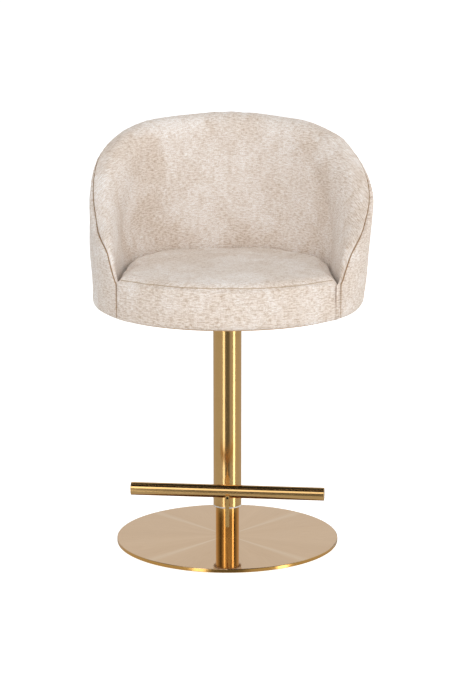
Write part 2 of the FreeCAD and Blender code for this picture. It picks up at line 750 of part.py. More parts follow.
def frame_screw_solids(oversize):
    """Countersunk screws through the frame into the board's edge, or their holes."""
    height = BOARD_BOTTOM + FRAME_SCREW_RISE
    start = SHELL_RADIUS - FRAME_OUTSET - FRAME_SCREW_SINK
    shank_radius = FRAME_SCREW_DIAMETER / 2 + oversize
    head_radius = FRAME_SCREW_HEAD / 2 + oversize
    screws = []
    for i in range(FRAME_SCREW_COUNT):
        share = 2.0 * i / (FRAME_SCREW_COUNT - 1) - 1.0
        angle = math.radians(90.0 + share * FRAME_SCREW_SPREAD_DEG)
        inward = Vector(-math.cos(angle), -math.sin(angle), 0)
        place = Vector(0, 0, height) - inward * start
        shank = Part.makeCylinder(shank_radius, FRAME_SCREW_LENGTH + oversize, place, inward)
        head_depth = head_radius - shank_radius
        screw = Part.makeCone(head_radius, shank_radius, head_depth, place, inward).fuse(shank)
        if oversize:
            mouth = 2 * FRAME_SCREW_SINK
            screw = screw.fuse(Part.makeCylinder(head_radius, mouth, place - inward * mouth, inward))
        screws.append(screw.removeSplitter())
    return grouped(screws)


def frame_screws():
    """Screws that hold the tub on the board."""
    return frame_screw_solids(0.0)


# ---- all nodes --------------------------------------------------------------------------------
NODES = {
    "base_pad": base_pad,
    "base_plate": base_plate,
    "base_screws": base_screws,
    "foot_plug": foot_plug,
    "inner_column": inner_column,
    "column_cap": column_cap,
    "lower_race": lower_race,
    "bearing_balls": bearing_balls,
    "ball_cage": ball_cage,
    "pivot_bolt": pivot_bolt,
    "pivot_washer": pivot_washer,
    "outer_tube": outer_tube,
    "tube_head": tube_head,
    "lower_bushing": lower_bushing,
    "upper_bushing": upper_bushing,
    "upper_race": upper_race,
    "footrest_arm": footrest_arm,
    "footrest_bar": footrest_bar,
    "footrest_cap_left": footrest_cap_left,
    "footrest_cap_right": footrest_cap_right,
    "footrest_screw": footrest_screw,
    "seat_plate": seat_plate,
    "plate_gussets": plate_gussets,
    "seat_bolts": seat_bolts,
    "seat_washers": seat_washers,
    "tee_nuts": tee_nuts,
    "seat_board": seat_board,
    "dust_cover": dust_cover,
    "seat_foam": seat_foam,
    "seat_cover": seat_cover,
    "shell_frame": shell_frame,
    "frame_screws": frame_screws,
    "outer_padding": outer_padding,
    "inner_padding": inner_padding,
    "outer_cover": outer_cover,
    "inner_cover": inner_cover,
}

os.makedirs("parts", exist_ok=True)
for name, make in NODES.items():
    shape = make()
    if not shape.isValid() or not shape.Solids:
        raise RuntimeError(name + " is not a valid solid")
    shape.exportStep("parts/" + name + ".step")
    print(name, len(shape.Solids), "solids", round(shape.Volume / 1000.0, 2), "cm3")
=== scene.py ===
"""A counter-height tub stool: soft goods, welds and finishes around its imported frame.

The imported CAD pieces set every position. The tub, the cushion and the dust cloth are built
again as soft goods, seam threads, weld beads and staples are added, and every piece gets a
procedural finish.
"""

import logging
import math
from dataclasses import dataclass
from enum import Enum
from typing import Callable, Sequence

import bpy
import bmesh
import numpy as np
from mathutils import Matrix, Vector, kdtree


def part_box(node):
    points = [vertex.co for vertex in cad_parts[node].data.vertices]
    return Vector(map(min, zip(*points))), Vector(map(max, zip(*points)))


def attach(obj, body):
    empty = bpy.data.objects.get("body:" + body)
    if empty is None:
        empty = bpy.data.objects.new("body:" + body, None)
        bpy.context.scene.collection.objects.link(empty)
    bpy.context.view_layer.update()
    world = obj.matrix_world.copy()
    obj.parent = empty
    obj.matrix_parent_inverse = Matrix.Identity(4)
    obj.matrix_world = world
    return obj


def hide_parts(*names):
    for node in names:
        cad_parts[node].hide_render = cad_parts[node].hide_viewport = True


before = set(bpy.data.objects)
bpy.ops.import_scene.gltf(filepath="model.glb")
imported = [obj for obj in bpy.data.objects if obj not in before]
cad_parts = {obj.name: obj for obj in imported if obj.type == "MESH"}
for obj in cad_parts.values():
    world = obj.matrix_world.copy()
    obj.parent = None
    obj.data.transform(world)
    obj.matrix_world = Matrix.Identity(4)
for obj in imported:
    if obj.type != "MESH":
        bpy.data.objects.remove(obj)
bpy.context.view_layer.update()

log = logging.getLogger("bar_stool")
SWIVEL = "swivel"
TAU = 2 * math.pi
Point = tuple[float, float, float]
Colour = tuple[float, float, float, float]
Object = bpy.types.Object
Socket = bpy.types.NodeSocket


# ---------------------------------------------------------------- modelling tools


def smoothstep(low: float, high: float, value: np.ndarray | float) -> np.ndarray:
    """Ease from 0 at low to 1 at high.

    Args:
        low: where the ease starts.
        high: where it ends.
        value: one number or an array of them.
    Returns:
        The eased share, with the shape of value.
    """
    t = np.clip((np.asarray(value, float) - low) / (high - low), 0.0, 1.0)
    return t * t * (3 - 2 * t)


def linear(r: float, g: float, b: float) -> Colour:
    """Turn an 8-bit display colour into a linear colour.

    Args:
        r: red, 0 to 255.
        g: green, 0 to 255.
        b: blue, 0 to 255.
    Returns:
        The linear colour with an alpha of 1.
    """

    def one(c: float) -> float:
        """Linear share of one channel."""
        c /= 255
        return c / 12.92 if c <= 0.04045 else ((c + 0.055) / 1.055) ** 2.4

    return (one(r), one(g), one(b), 1.0)


def deselect() -> None:
    """Deselect every object, the CAD nodes among them."""
    if bpy.context.object and bpy.context.object.mode != "OBJECT":
        bpy.ops.object.mode_set(mode="OBJECT")
    bpy.ops.object.select_all(action="DESELECT")


def activate(obj: Object) -> None:
    """Make obj the only selected and the active object."""
    deselect()
    obj.select_set(True)
    bpy.context.view_layer.objects.active = obj


def edit(obj: Object, mode: str = "FACE") -> None:
    """Open obj in edit mode with nothing selected.

    Args:
        obj: the mesh to edit.
        mode: VERT, EDGE or FACE.
    """
    activate(obj)
    bpy.ops.object.mode_set(mode="EDIT")
    bpy.ops.mesh.select_mode(type=mode)
    bpy.ops.mesh.select_all(action="DESELECT")


def close_edit() -> None:
    """Leave edit mode."""
    bpy.ops.object.mode_set(mode="OBJECT")


def pick(obj: Object, kind: str, test: Callable[[object], bool]) -> None:
    """Select the faces or edges of an object in edit mode that pass a test.

    Args:
        obj: the mesh being edited.
        kind: faces or edges.
        test: takes one face or edge.
    """
    mesh = bmesh.from_edit_mesh(obj.data)
    for item in getattr(mesh, kind):
        item.select_set(test(item))
    mesh.select_flush_mode()
    bmesh.update_edit_mesh(obj.data)


def freeze(obj: Object) -> None:
    """Put an object's place, turn and size into its mesh."""
    activate(obj)
    bpy.ops.object.transform_apply(location=True, rotation=True, scale=True)


def outward(obj: Object, merge: float = 1e-6) -> None:
    """Merge an object's doubles and turn its faces outwards.

    Args:
        obj: a closed mesh.
        merge: how near two corners are one, in metres.
    """
    edit(obj, "VERT")
    bpy.ops.mesh.select_all(action="SELECT")
    bpy.ops.mesh.remove_doubles(threshold=merge)
    bpy.ops.mesh.normals_make_consistent(inside=False)
    close_edit()


def modifier(obj: Object, kind: str, **settings: object) -> None:
    """Add a modifier and apply it.

    Args:
        obj: the mesh.
        kind: Blender's modifier type.
        settings: its properties.
    """
    activate(obj)
    mod = obj.modifiers.new(kind.title(), kind)
    for name, value in settings.items():
        setattr(mod, name, value)
    bpy.ops.object.modifier_apply(modifier=mod.name)


def smooth(obj: Object, degrees: float = 35.0) -> None:
    """Shade an object smooth, with creases past an angle.

    Args:
        obj: the mesh.
        degrees: the angle past which an edge stays sharp.
    """
    activate(obj)
    bpy.ops.object.shade_smooth_by_angle(angle=math.radians(degrees))


def mesh_object(
    name: str, points: np.ndarray, faces: Sequence[Sequence[int]]
) -> Object:
    """Make an object from points and faces.

    Args:
        name: the piece's name.
        points: n by 3, in metres.
        faces: corner numbers of each face.
    Returns:
        The new object, linked to the scene.
    """
    mesh = bpy.data.meshes.new(name)
    mesh.from_pydata(
        [tuple(map(float, p)) for p in points], [], [tuple(map(int, f)) for f in faces]
    )
    mesh.validate()
    obj = bpy.data.objects.new(name, mesh)
    bpy.context.scene.collection.objects.link(obj)
    return obj


def thread_object(
    name: str, path: np.ndarray, radius: float, thin: np.ndarray
) -> Object:
    """Make a round thread along a path, closed at both ends.

    Args:
        name: the piece's name.
        path: points along the thread's middle, n by 3, in metres.
        radius: the thread's radius.
        thin: share of the radius at each point.
    Returns:
        The thread as a mesh.
    """
    curve = bpy.data.curves.new(name, "CURVE")
    curve.dimensions = "3D"
    curve.bevel_depth, curve.bevel_resolution, curve.use_fill_caps = radius, 2, True
    spline = curve.splines.new("POLY")
    spline.points.add(len(path) - 1)
    spline.points.foreach_set("radius", np.asarray(thin, np.float32))
    flat = np.hstack([path, np.ones((len(path), 1))]).astype(np.float32)
    spline.points.foreach_set("co", flat.ravel())
    obj = bpy.data.objects.new(name, curve)
    bpy.context.scene.collection.objects.link(obj)
    activate(obj)
    bpy.ops.object.convert(target="MESH")
    obj = bpy.context.object
    outward(obj)
    smooth(obj, 80)
    return obj


def read_corners(obj: Object, what: str) -> np.ndarray:
    """One vector for each of a mesh's corners, n by 3: co or normal."""
    flat = np.zeros(len(obj.data.vertices) * 3)
    obj.data.vertices.foreach_get(what, flat)
    return flat.reshape(-1, 3)


def corners(obj: Object) -> np.ndarray:
    """Places of a mesh's corners, n by 3."""
    return read_corners(obj, "co")


def set_corners(obj: Object, co: np.ndarray) -> None:
    """Move a mesh's corners to new places."""
    obj.data.vertices.foreach_set("co", np.asarray(co, np.float32).ravel())
    obj.data.update()


def corner_normals(obj: Object) -> np.ndarray:
    """Normals at a mesh's corners, n by 3."""
    return read_corners(obj, "normal")


def ripple(co: np.ndarray, waves: Sequence[tuple[float, float, float, float, float]]) -> np.ndarray:
    """A soft, repeatable unevenness.

    Args:
        co: points, n by 3, in metres.
        waves: for each wave its three turns per metre, its phase and its height.
    Returns:
        One height for each point, in metres.
    """
    total = np.zeros(len(co))
    for kx, ky, kz, phase, height in waves:
        total += height * np.sin(TAU * (co @ np.array((kx, ky, kz))) + phase)
    return total


def ridge(way: np.ndarray, at: float, width: float) -> np.ndarray:
    """A rounded ridge of height 1 where way is at."""
    return np.exp(-(((way - at) / width) ** 2))


def ride(obj: Object, finish: bpy.types.Material) -> None:
    """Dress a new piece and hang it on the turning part.

    Args:
        obj: the finished piece.
        finish: its material.
    """
    obj.data.materials.clear()
    obj.data.materials.append(finish)
    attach(obj, SWIVEL)
    log.info("%s: %d faces", obj.name, len(obj.data.polygons))


# ---------------------------------------------------------------- shader tools


class Graph:
    """Short hand for building one node tree."""

    def __init__(self, tree: bpy.types.NodeTree) -> None:
        """Keep the tree that nodes go into."""
        self.tree = tree

    def node(self, kind: str, **settings: object) -> bpy.types.Node:
        """Add a node of a kind and set its properties."""
        made = self.tree.nodes.new("ShaderNode" + kind)
        for name, value in settings.items():
            setattr(made, name, value)
        return made

    def feed(self, socket: Socket, value: object) -> None:
        """Link a socket to an output, or set its value."""
        if isinstance(value, Socket):
            self.tree.links.new(value, socket)
        elif value is not None:
            socket.default_value = value

    def math(self, operation: str, *values: object, clamp: bool = False) -> Socket:
        """Result of a Math node on one to three values."""
        made = self.node("Math", operation=operation, use_clamp=clamp)
        for socket, value in zip(made.inputs, values):
            self.feed(socket, value)
        return made.outputs[0]

    def times(self, *values: object, clamp: bool = False) -> Socket:
        """Product of two values."""
        return self.math("MULTIPLY", *values, clamp=clamp)

    def plus(self, *values: object, clamp: bool = False) -> Socket:
        """Sum of two values."""
        return self.math("ADD", *values, clamp=clamp)

    def wire(self, node: bpy.types.Node, **values: object) -> None:
        """Link or set a node's inputs by name, _ for a space."""
        for name, value in values.items():
            self.feed(node.inputs[name.replace("_", " ")], value)

    def split(self, vector: object) -> Sequence[Socket]:
        """The x, y and z of a vector."""
        made = self.node("SeparateXYZ")
        self.feed(made.inputs[0], vector)
        return made.outputs

    def join(self, *values: object) -> Socket:
        """A vector from its x, y and z."""
        made = self.node("CombineXYZ")
        for socket, value in zip(made.inputs, values):
            self.feed(socket, value)
        return made.outputs[0]

    def stretch(self, vector: object, scale: Point) -> Socket:
        """A vector scaled by a Mapping node."""
        made = self.node("Mapping")
        self.wire(made, Vector=vector, Scale=scale)
        return made.outputs[0]

    def noise(
        self, vector: object, scale: object = 1.0, detail: float = 3.0, rough: float = 0.5,
        twist: float = 0.0,
    ) -> Socket:
        """Value of a Noise node."""
        made = self.node("TexNoise")
        self.wire(
            made, Vector=vector, Scale=scale, Detail=detail, Roughness=rough, Distortion=twist
        )
        return made.outputs["Fac"]

    def fit(
        self, value: object, low: float, high: float, out_low: object = 0.0, out_high: object = 1.0
    ) -> Socket:
        """A value moved from one range to another, clamped."""
        made = self.node("MapRange")
        self.wire(made, Value=value, From_Min=low, From_Max=high, To_Min=out_low, To_Max=out_high)
        return made.outputs["Result"]

    def mix(self, share: object, a: object, b: object) -> Socket:
        """Colour between a and b by share."""
        made = self.node("Mix", data_type="RGBA", clamp_factor=True)
        self.feed(made.inputs[0], share)
        self.feed(made.inputs[6], a)
        self.feed(made.inputs[7], b)
        return made.outputs[2]

    def bump(
        self, height: object, strength: float, distance: float, normal: object = None
    ) -> Socket:
        """Normal bent by a height."""
        made = self.node("Bump")
        self.wire(made, Strength=strength, Distance=distance, Height=height, Normal=normal)
        return made.outputs[0]

    def group(self, tree: bpy.types.NodeTree, **values: object) -> bpy.types.Node:
        """Place a group and feed its inputs by name, _ for a space."""
        made = self.node("Group", node_tree=tree)
        self.wire(made, **values)
        return made


def new_group(
    name: str, inputs: dict[str, object], outputs: dict[str, str]
) -> tuple[Graph, dict, dict]:
    """Start a shader node group.

    Args:
        name: its name.
        inputs: name to default, a number, a colour of 4 or a vector of 3.
        outputs: name to kind, Color or Float.
    Returns:
        The graph, its input sockets by name and its output sockets by name.
    """
    tree = bpy.data.node_groups.new(name, "ShaderNodeTree")
    for label, default in inputs.items():
        size = len(default) if hasattr(default, "__len__") else 1
        kind = {1: "NodeSocketFloat", 3: "NodeSocketVector", 4: "NodeSocketColor"}[size]
        socket = tree.interface.new_socket(label, in_out="INPUT", socket_type=kind)
        socket.default_value = default
    for label, kind in outputs.items():
        tree.interface.new_socket(label, in_out="OUTPUT", socket_type="NodeSocket" + kind)
    graph = Graph(tree)
    entry = tree.nodes.new("NodeGroupInput")
    leave = tree.nodes.new("NodeGroupOutput")
    named = [{s.name: s for s in sockets if s.name} for sockets in (entry.outputs, leave.inputs)]
    return graph, *named


def chenille_group() -> bpy.types.NodeTree:
    """Woven chenille: slubby rows, a finer cross thread, flecks and painted sheen patches.

    Returns:
        A group that puts out the cloth's colour, its height and its roughness.
    """
    g, i, o = new_group(
        "chenille_weave",
        {
            "Cloth": (0.0, 0.0, 0.0),
            "Place": (0.0, 0.0, 0.0),
            "Base": (0.7, 0.6, 0.5, 1.0),
            "Shade": (0.5, 0.4, 0.3, 1.0),
            "Silver": (0.8, 0.8, 0.8, 1.0),
            "Nap": 1.0,
            "Rows": 1.0,
        },
        {"Color": "Color", "Height": "Float", "Rough": "Float"},
    )
    cloth = i["Cloth"]
    rows = g.noise(g.stretch(cloth, (95, 340, 1)), 1.0, 4, 0.65)
    cross = g.noise(g.stretch(cloth, (350, 80, 1)), 1.0, 3, 0.6)
    pile = g.noise(g.stretch(cloth, (400, 520, 1)), 1.0, 4, 0.75)
    # painted sheen: broad patches lightened towards silver stand in for light caught by the pile
    wide = g.noise(i["Place"], 6.0, 4, 0.55, 1.1)
    small = g.noise(g.stretch(i["Place"], (1, 1, 0.8)), 26.0, 4, 0.65, 0.9)
    painted_sheen = g.fit(g.plus(g.times(wide, 0.62), g.times(small, 0.38)), 0.45, 0.63)
    painted_sheen = g.times(painted_sheen, i["Nap"])
    dark = g.times(g.fit(rows, 0.56, 0.36), g.times(i["Rows"], 0.8))
    dark = g.plus(dark, g.times(g.fit(cross, 0.54, 0.36), 0.35), clamp=True)
    dark = g.times(dark, g.math("SUBTRACT", 1.0, g.times(painted_sheen, 0.45)))
    colour = g.mix(dark, i["Base"], i["Shade"])
    # light fibre flecks, drawn stronger inside the painted sheen patches
    fleck = g.fit(g.plus(g.times(pile, 0.65), g.times(rows, 0.35)), 0.48, 0.58)
    fleck_and_sheen = g.times(fleck, g.plus(g.times(painted_sheen, 0.60), 0.38), clamp=True)
    fleck_and_sheen = g.plus(fleck_and_sheen, g.times(painted_sheen, 0.22), clamp=True)
    g.feed(o["Color"], g.mix(fleck_and_sheen, colour, i["Silver"]))
    height = g.plus(g.times(rows, 0.55), g.times(cross, 0.25))
    g.feed(o["Height"], g.plus(height, g.times(pile, 0.5)))
    g.feed(o["Rough"], g.fit(painted_sheen, 0.0, 1.0, 0.98, 0.82))
    return g.tree


def streak_group() -> bpy.types.NodeTree:
    """Fine brushing streaks along one way of a metal surface.

    Returns:
        A group that puts out a streak value about 0.5 and a share of stain.
    """
    g, i, o = new_group(
        "brush_streaks", {"Along": (0.0, 0.0, 0.0), "Stain": 0.3},
        {"Value": "Float", "Stain": "Float"},
    )
    fine = g.noise(i["Along"], 1.0, 4, 0.7)
    cloud = g.noise(g.stretch(i["Along"], (0.03, 0.03, 0.03)), 1.0, 3, 0.6, 0.5)
    g.feed(o["Value"], fine)
    g.feed(o["Stain"], g.times(g.fit(cloud, 0.45, 0.7), i["Stain"]))
    return g.tree


def wear_group() -> bpy.types.NodeTree:
    """Edge wear: a broken mask along edges.

    Returns:
        A group that puts out the mask.
    """
    g, i, o = new_group(
        "edge_wear", {"Place": (0.0, 0.0, 0.0), "Width": 0.001, "Amount": 0.6}, {"Mask": "Float"}
    )
    bevel = g.node("Bevel", samples=4)
    g.feed(bevel.inputs["Radius"], i["Width"])
    flat = g.node("NewGeometry")
    turn = g.node("VectorMath", operation="DOT_PRODUCT")
    g.feed(turn.inputs[0], bevel.outputs[0])
    g.feed(turn.inputs[1], flat.outputs["Normal"])
    edge = g.fit(turn.outputs["Value"], 0.985, 0.86)
    broken = g.fit(g.noise(i["Place"], 420.0, 3, 0.6), 0.38, 0.6)
    g.feed(o["Mask"], g.times(g.times(edge, broken), i["Amount"], clamp=True))
    return g.tree


def dust_group() -> bpy.types.NodeTree:
    """Faint dust and handling marks.

    Returns:
        A group that puts out the mask.
    """
    g, i, o = new_group("dust", {"Place": (0.0, 0.0, 0.0), "Amount": 0.2}, {"Mask": "Float"})
    cloud = g.fit(g.noise(i["Place"], 14.0, 5, 0.62, 0.4), 0.42, 0.72)
    specks = g.fit(g.noise(i["Place"], 900.0, 1, 0.5), 0.66, 0.74)
    up = g.node("NewGeometry")
    level = g.fit(g.split(up.outputs["Normal"])[2], -0.2, 0.9, 0.35, 1.0)
    total = g.plus(cloud, g.times(specks, 0.6), clamp=True)
    g.feed(o["Mask"], g.times(g.times(total, level), i["Amount"]))
    return g.tree


GROUPS = {
    "chenille": chenille_group(), "streak": streak_group(), "wear": wear_group(),
    "dust": dust_group(),
}


def start_material(name: str) -> tuple[bpy.types.Material, Graph, bpy.types.Node]:
    """Start a material with only a Principled shader and its output.

    Args:
        name: the finish's name.
    Returns:
        The material, its graph and its Principled node.
    """
    made = bpy.data.materials.new(name)
    made.use_nodes = True
    made.node_tree.nodes.clear()
    g = Graph(made.node_tree)
    shader, out = g.node("BsdfPrincipled"), g.node("OutputMaterial")
    g.feed(out.inputs["Surface"], shader.outputs[0])
    return made, g, shader


def place(g: Graph) -> Socket:
    """Object coordinates."""
    return g.node("TexCoord").outputs["Object"]


def cloth_map(g: Graph) -> Socket:
    """The piece's own cloth map, in metres."""
    return g.node("UVMap", uv_map="cloth").outputs[0]


class Run(Enum):
    """Which way a metal's brushing runs, as its pattern's stretch and its shine's direction."""

    ROUND_UPRIGHT = ((5.0, 5.0, 620.0), (0.0, 0.0, 1.0))
    ROUND_BAR = ((620.0, 5.0, 5.0), (0.9937, -0.1115, 0.0))
    UPRIGHT = ((900.0, 900.0, 25.0), (1.0, 0.0, 0.0))


@dataclass(frozen=True)
class Brushed:
    """Brushed gold or bare metal on a tube, a bar or a plate."""

    name: str
    colour: Colour
    deep: Colour
    run: Run
    roughness: float = 0.2
    shine_length: float = 0.7
    wear_width: float = 0.0008
    worn: Colour = linear(252, 236, 196)
    dusty: Colour = linear(214, 206, 196)

    def build(self) -> bpy.types.Material:
        """Make the material."""
        made, g, shader = start_material(self.name)
        where = place(g)
        streak = g.group(GROUPS["streak"], Along=g.stretch(where, self.run.value[0]), Stain=0.15)
        wear = g.group(GROUPS["wear"], Place=where, Width=self.wear_width, Amount=0.5)
        dust = g.group(GROUPS["dust"], Place=where, Amount=0.03)
        shade = g.plus(
            g.fit(streak.outputs["Value"], 0.25, 0.75, 0.0, 0.10), streak.outputs["Stain"],
            clamp=True,
        )
        colour = g.mix(shade, self.colour, self.deep)
        colour = g.mix(wear.outputs["Mask"], colour, self.worn)
        rough = g.fit(
            streak.outputs["Value"], 0.25, 0.75, self.roughness * 0.95, self.roughness * 1.05
        )
        g.wire(
            shader,
            Base_Color=g.mix(dust.outputs["Mask"], colour, self.dusty),
            Metallic=1.0,
            Roughness=g.plus(rough, g.times(dust.outputs["Mask"], 0.6)),
            Normal=g.bump(streak.outputs["Value"], 0.006, 0.0001),
            Anisotropic=self.shine_length,
            Tangent=g.join(*self.run.value[1]),
        )
        return made


@dataclass(frozen=True)
class Sunray:
    """A round plate brushed from its centre outwards, with painted highlight rays at fixed angles.
    """

    name: str = "sunray_gold"
    colour: Colour = linear(238, 204, 165)
    deep: Colour = linear(222, 186, 145)
    rim: Colour = linear(240, 186, 104)
    # painted highlight: the colour of the lighter rays
    painted_glint: Colour = linear(252, 232, 204)
    worn: Colour = linear(250, 232, 196)
    dusty: Colour = linear(220, 212, 204)
    roughness: float = 0.055
    rim_height: float = 0.0078
    rim_blend: float = 0.0006
    # angle, half width and fade-out radius of the painted highlight rays
    painted_highlight_angle: float = 0.74
    painted_highlight_half_width: float = 0.075
    reach: float = 0.24

    def build(self) -> bpy.types.Material:
        """Make the material."""
        made, g, shader = start_material(self.name)
        where = place(g)
        x, y, z = g.split(where)
        angle = g.math("ARCTAN2", y, x)
        radius = g.math("SQRT", g.plus(g.times(x, x), g.times(y, y)))
        rays = g.join(g.math("SINE", angle), g.math("COSINE", angle), g.times(radius, 0.6))
        broad, fine = g.noise(rays, 2.2, 2, 0.5), g.noise(rays, 46.0, 3, 0.7)
        # painted highlight: lighter rays at fixed angles stand in for the lights' reflections in
        # the spun finish
        half_turn = g.math("MODULO", g.plus(angle, TAU), math.pi)
        quarter = g.math("ABSOLUTE", g.math("SUBTRACT", half_turn, math.pi / 2))
        folded = g.math("ABSOLUTE", g.math("SUBTRACT", quarter, self.painted_highlight_angle))
        painted_glint_mask = g.times(
            g.fit(folded, self.painted_highlight_half_width, 0.0), g.fit(radius, 0.0, self.reach, 1.0, 0.55)
        )
        shade = g.plus(
            g.fit(broad, 0.3, 0.7, 0.0, 0.55), g.fit(fine, 0.3, 0.7, 0.0, 0.35), clamp=True
        )
        top = g.mix(g.times(painted_glint_mask, 0.55), g.mix(shade, self.colour, self.deep), self.painted_glint)
        wear = g.group(GROUPS["wear"], Place=where, Width=0.0009, Amount=0.5)
        dust = g.group(GROUPS["dust"], Place=where, Amount=0.03)
        over = self.rim_height + self.rim_blend
        colour = g.mix(g.fit(z, over, self.rim_height), top, self.rim)
        rough = g.fit(fine, 0.25, 0.75, self.roughness * 0.75, self.roughness * 1.3)
        rough = g.times(rough, g.fit(z, over, self.rim_height, 1.0, 3.0))
        g.wire(
            shader,
            Base_Color=g.mix(
                dust.outputs["Mask"], g.mix(wear.outputs["Mask"], colour, self.worn), self.dusty
            ),
            Metallic=1.0,
            Roughness=g.plus(rough, g.times(dust.outputs["Mask"], 0.4)),
            Normal=g.bump(fine, 0.012, 0.0002, self.side_normal(g, x, y, radius)),
        )
        return made

    def side_normal(self, g: Graph, x: object, y: object, radius: object) -> Socket:
        """The face's own normal on the top, and a true cylinder's on the edge.

        Args:
            g: the material's graph.
            x: place across.
            y: place along.
            radius: distance from the plate's centre.
        Returns:
            The normal in world space.
        """
        out = g.node(
            "VectorTransform", vector_type="NORMAL", convert_from="OBJECT", convert_to="WORLD"
        )
        g.feed(out.inputs[0], g.join(g.math("DIVIDE", x, radius), g.math("DIVIDE", y, radius)))
        face = g.node("NewGeometry").outputs["Normal"]
        side = g.node("Mix", data_type="VECTOR")
        g.feed(side.inputs[0], g.fit(g.math("ABSOLUTE", g.split(face)[2]), 0.35, 0.25))
        g.feed(side.inputs[4], face)
        g.feed(side.inputs[5], out.outputs[0])
        return side.outputs[1]


@dataclass(frozen=True)
class Chenille:
    """Cream chenille with painted silvery sheen patches."""

    name: str
    base: Colour = linear(228, 214, 201)
    shade: Colour = linear(188, 165, 144)
    # colour of the fibre flecks and of the painted sheen
    fleck_and_sheen: Colour = linear(250, 247, 245)
    # strength of the painted sheen patches
    painted_sheen: float = 1.0
    rows: float = 1.0

    def build(self) -> bpy.types.Material:
        """Make the material."""
        made, g, shader = start_material(self.name)
        weave = g.group(
            GROUPS["chenille"],
            Cloth=cloth_map(g),
            Place=place(g),
            Base=self.base,
            Shade=self.shade,
            Silver=self.fleck_and_sheen,
            Nap=self.painted_sheen,
            Rows=self.rows,
        )
        g.wire(
            shader,
            Base_Color=weave.outputs["Color"],
            Roughness=weave.outputs["Rough"],
            Normal=g.bump(weave.outputs["Height"], 0.75, 0.0022),
            Sheen_Weight=0.35,
            Sheen_Roughness=0.45,
            Sheen_Tint=(1.0, 0.96, 0.9, 1.0),
            Specular_IOR_Level=0.25,
        )
        return made


@dataclass(frozen=True)
class Grainy:
    """A matt or satin material with a grain: paint, plastic, zinc, wood, foam or felt."""

    name: str
    colour: Colour
    fleck: Colour
    grain: Point = (300.0, 300.0, 300.0)
    contrast: float = 0.5
    roughness: float = 0.5
    metallic: float = 0.0
    bump: float = 0.15
    depth: float = 0.0005
    wear: float = 0.0
    worn: Colour = linear(190, 188, 184)
    dust: float = 0.12
    dusty: Colour = linear(198, 192, 184)

    def build(self) -> bpy.types.Material:
        """Make the material."""
        made, g, shader = start_material(self.name)
        where = place(g)
        grain = g.noise(g.stretch(where, self.grain), 1.0, 5, 0.6, 0.3)
        cloud = g.noise(where, 12.0, 4, 0.6, 0.5)
        share = g.plus(
            g.times(g.fit(grain, 0.3, 0.7), self.contrast), g.fit(cloud, 0.35, 0.7, 0.0, 0.2),
            clamp=True,
        )
        colour = g.mix(share, self.colour, self.fleck)
        dust = g.group(GROUPS["dust"], Place=where, Amount=self.dust)
        if self.wear:
            wear = g.group(GROUPS["wear"], Place=where, Width=0.0008, Amount=self.wear)
            colour = g.mix(wear.outputs["Mask"], colour, self.worn)
        rough = g.fit(grain, 0.3, 0.7, self.roughness * 0.85, min(1.0, self.roughness * 1.15))
        g.wire(
            shader,
            Base_Color=g.mix(dust.outputs["Mask"], colour, self.dusty),
            Metallic=self.metallic,
            Roughness=g.plus(rough, g.times(dust.outputs["Mask"], 0.5), clamp=True),
            Normal=g.bump(grain, self.bump, self.depth),
        )
        return made


@dataclass(frozen=True)
class Thread:
    """Twisted seam thread or piping."""

    name: str = "seam_thread"
    colour: Colour = linear(172, 140, 104)
    deep: Colour = linear(136, 106, 76)

    def build(self) -> bpy.types.Material:
        """Make the material."""
        made, g, shader = start_material(self.name)
        wave = g.node("TexWave", wave_type="BANDS", bands_direction="DIAGONAL")
        g.wire(wave, Vector=place(g), Scale=260.0, Distortion=1.5)
        twist = wave.outputs["Fac"]
        g.wire(
            shader,
            Base_Color=g.mix(twist, self.colour, self.deep),
            Roughness=g.fit(twist, 0, 1, 0.75, 0.95),
            Normal=g.bump(twist, 0.4, 0.0004),
        )
        return made


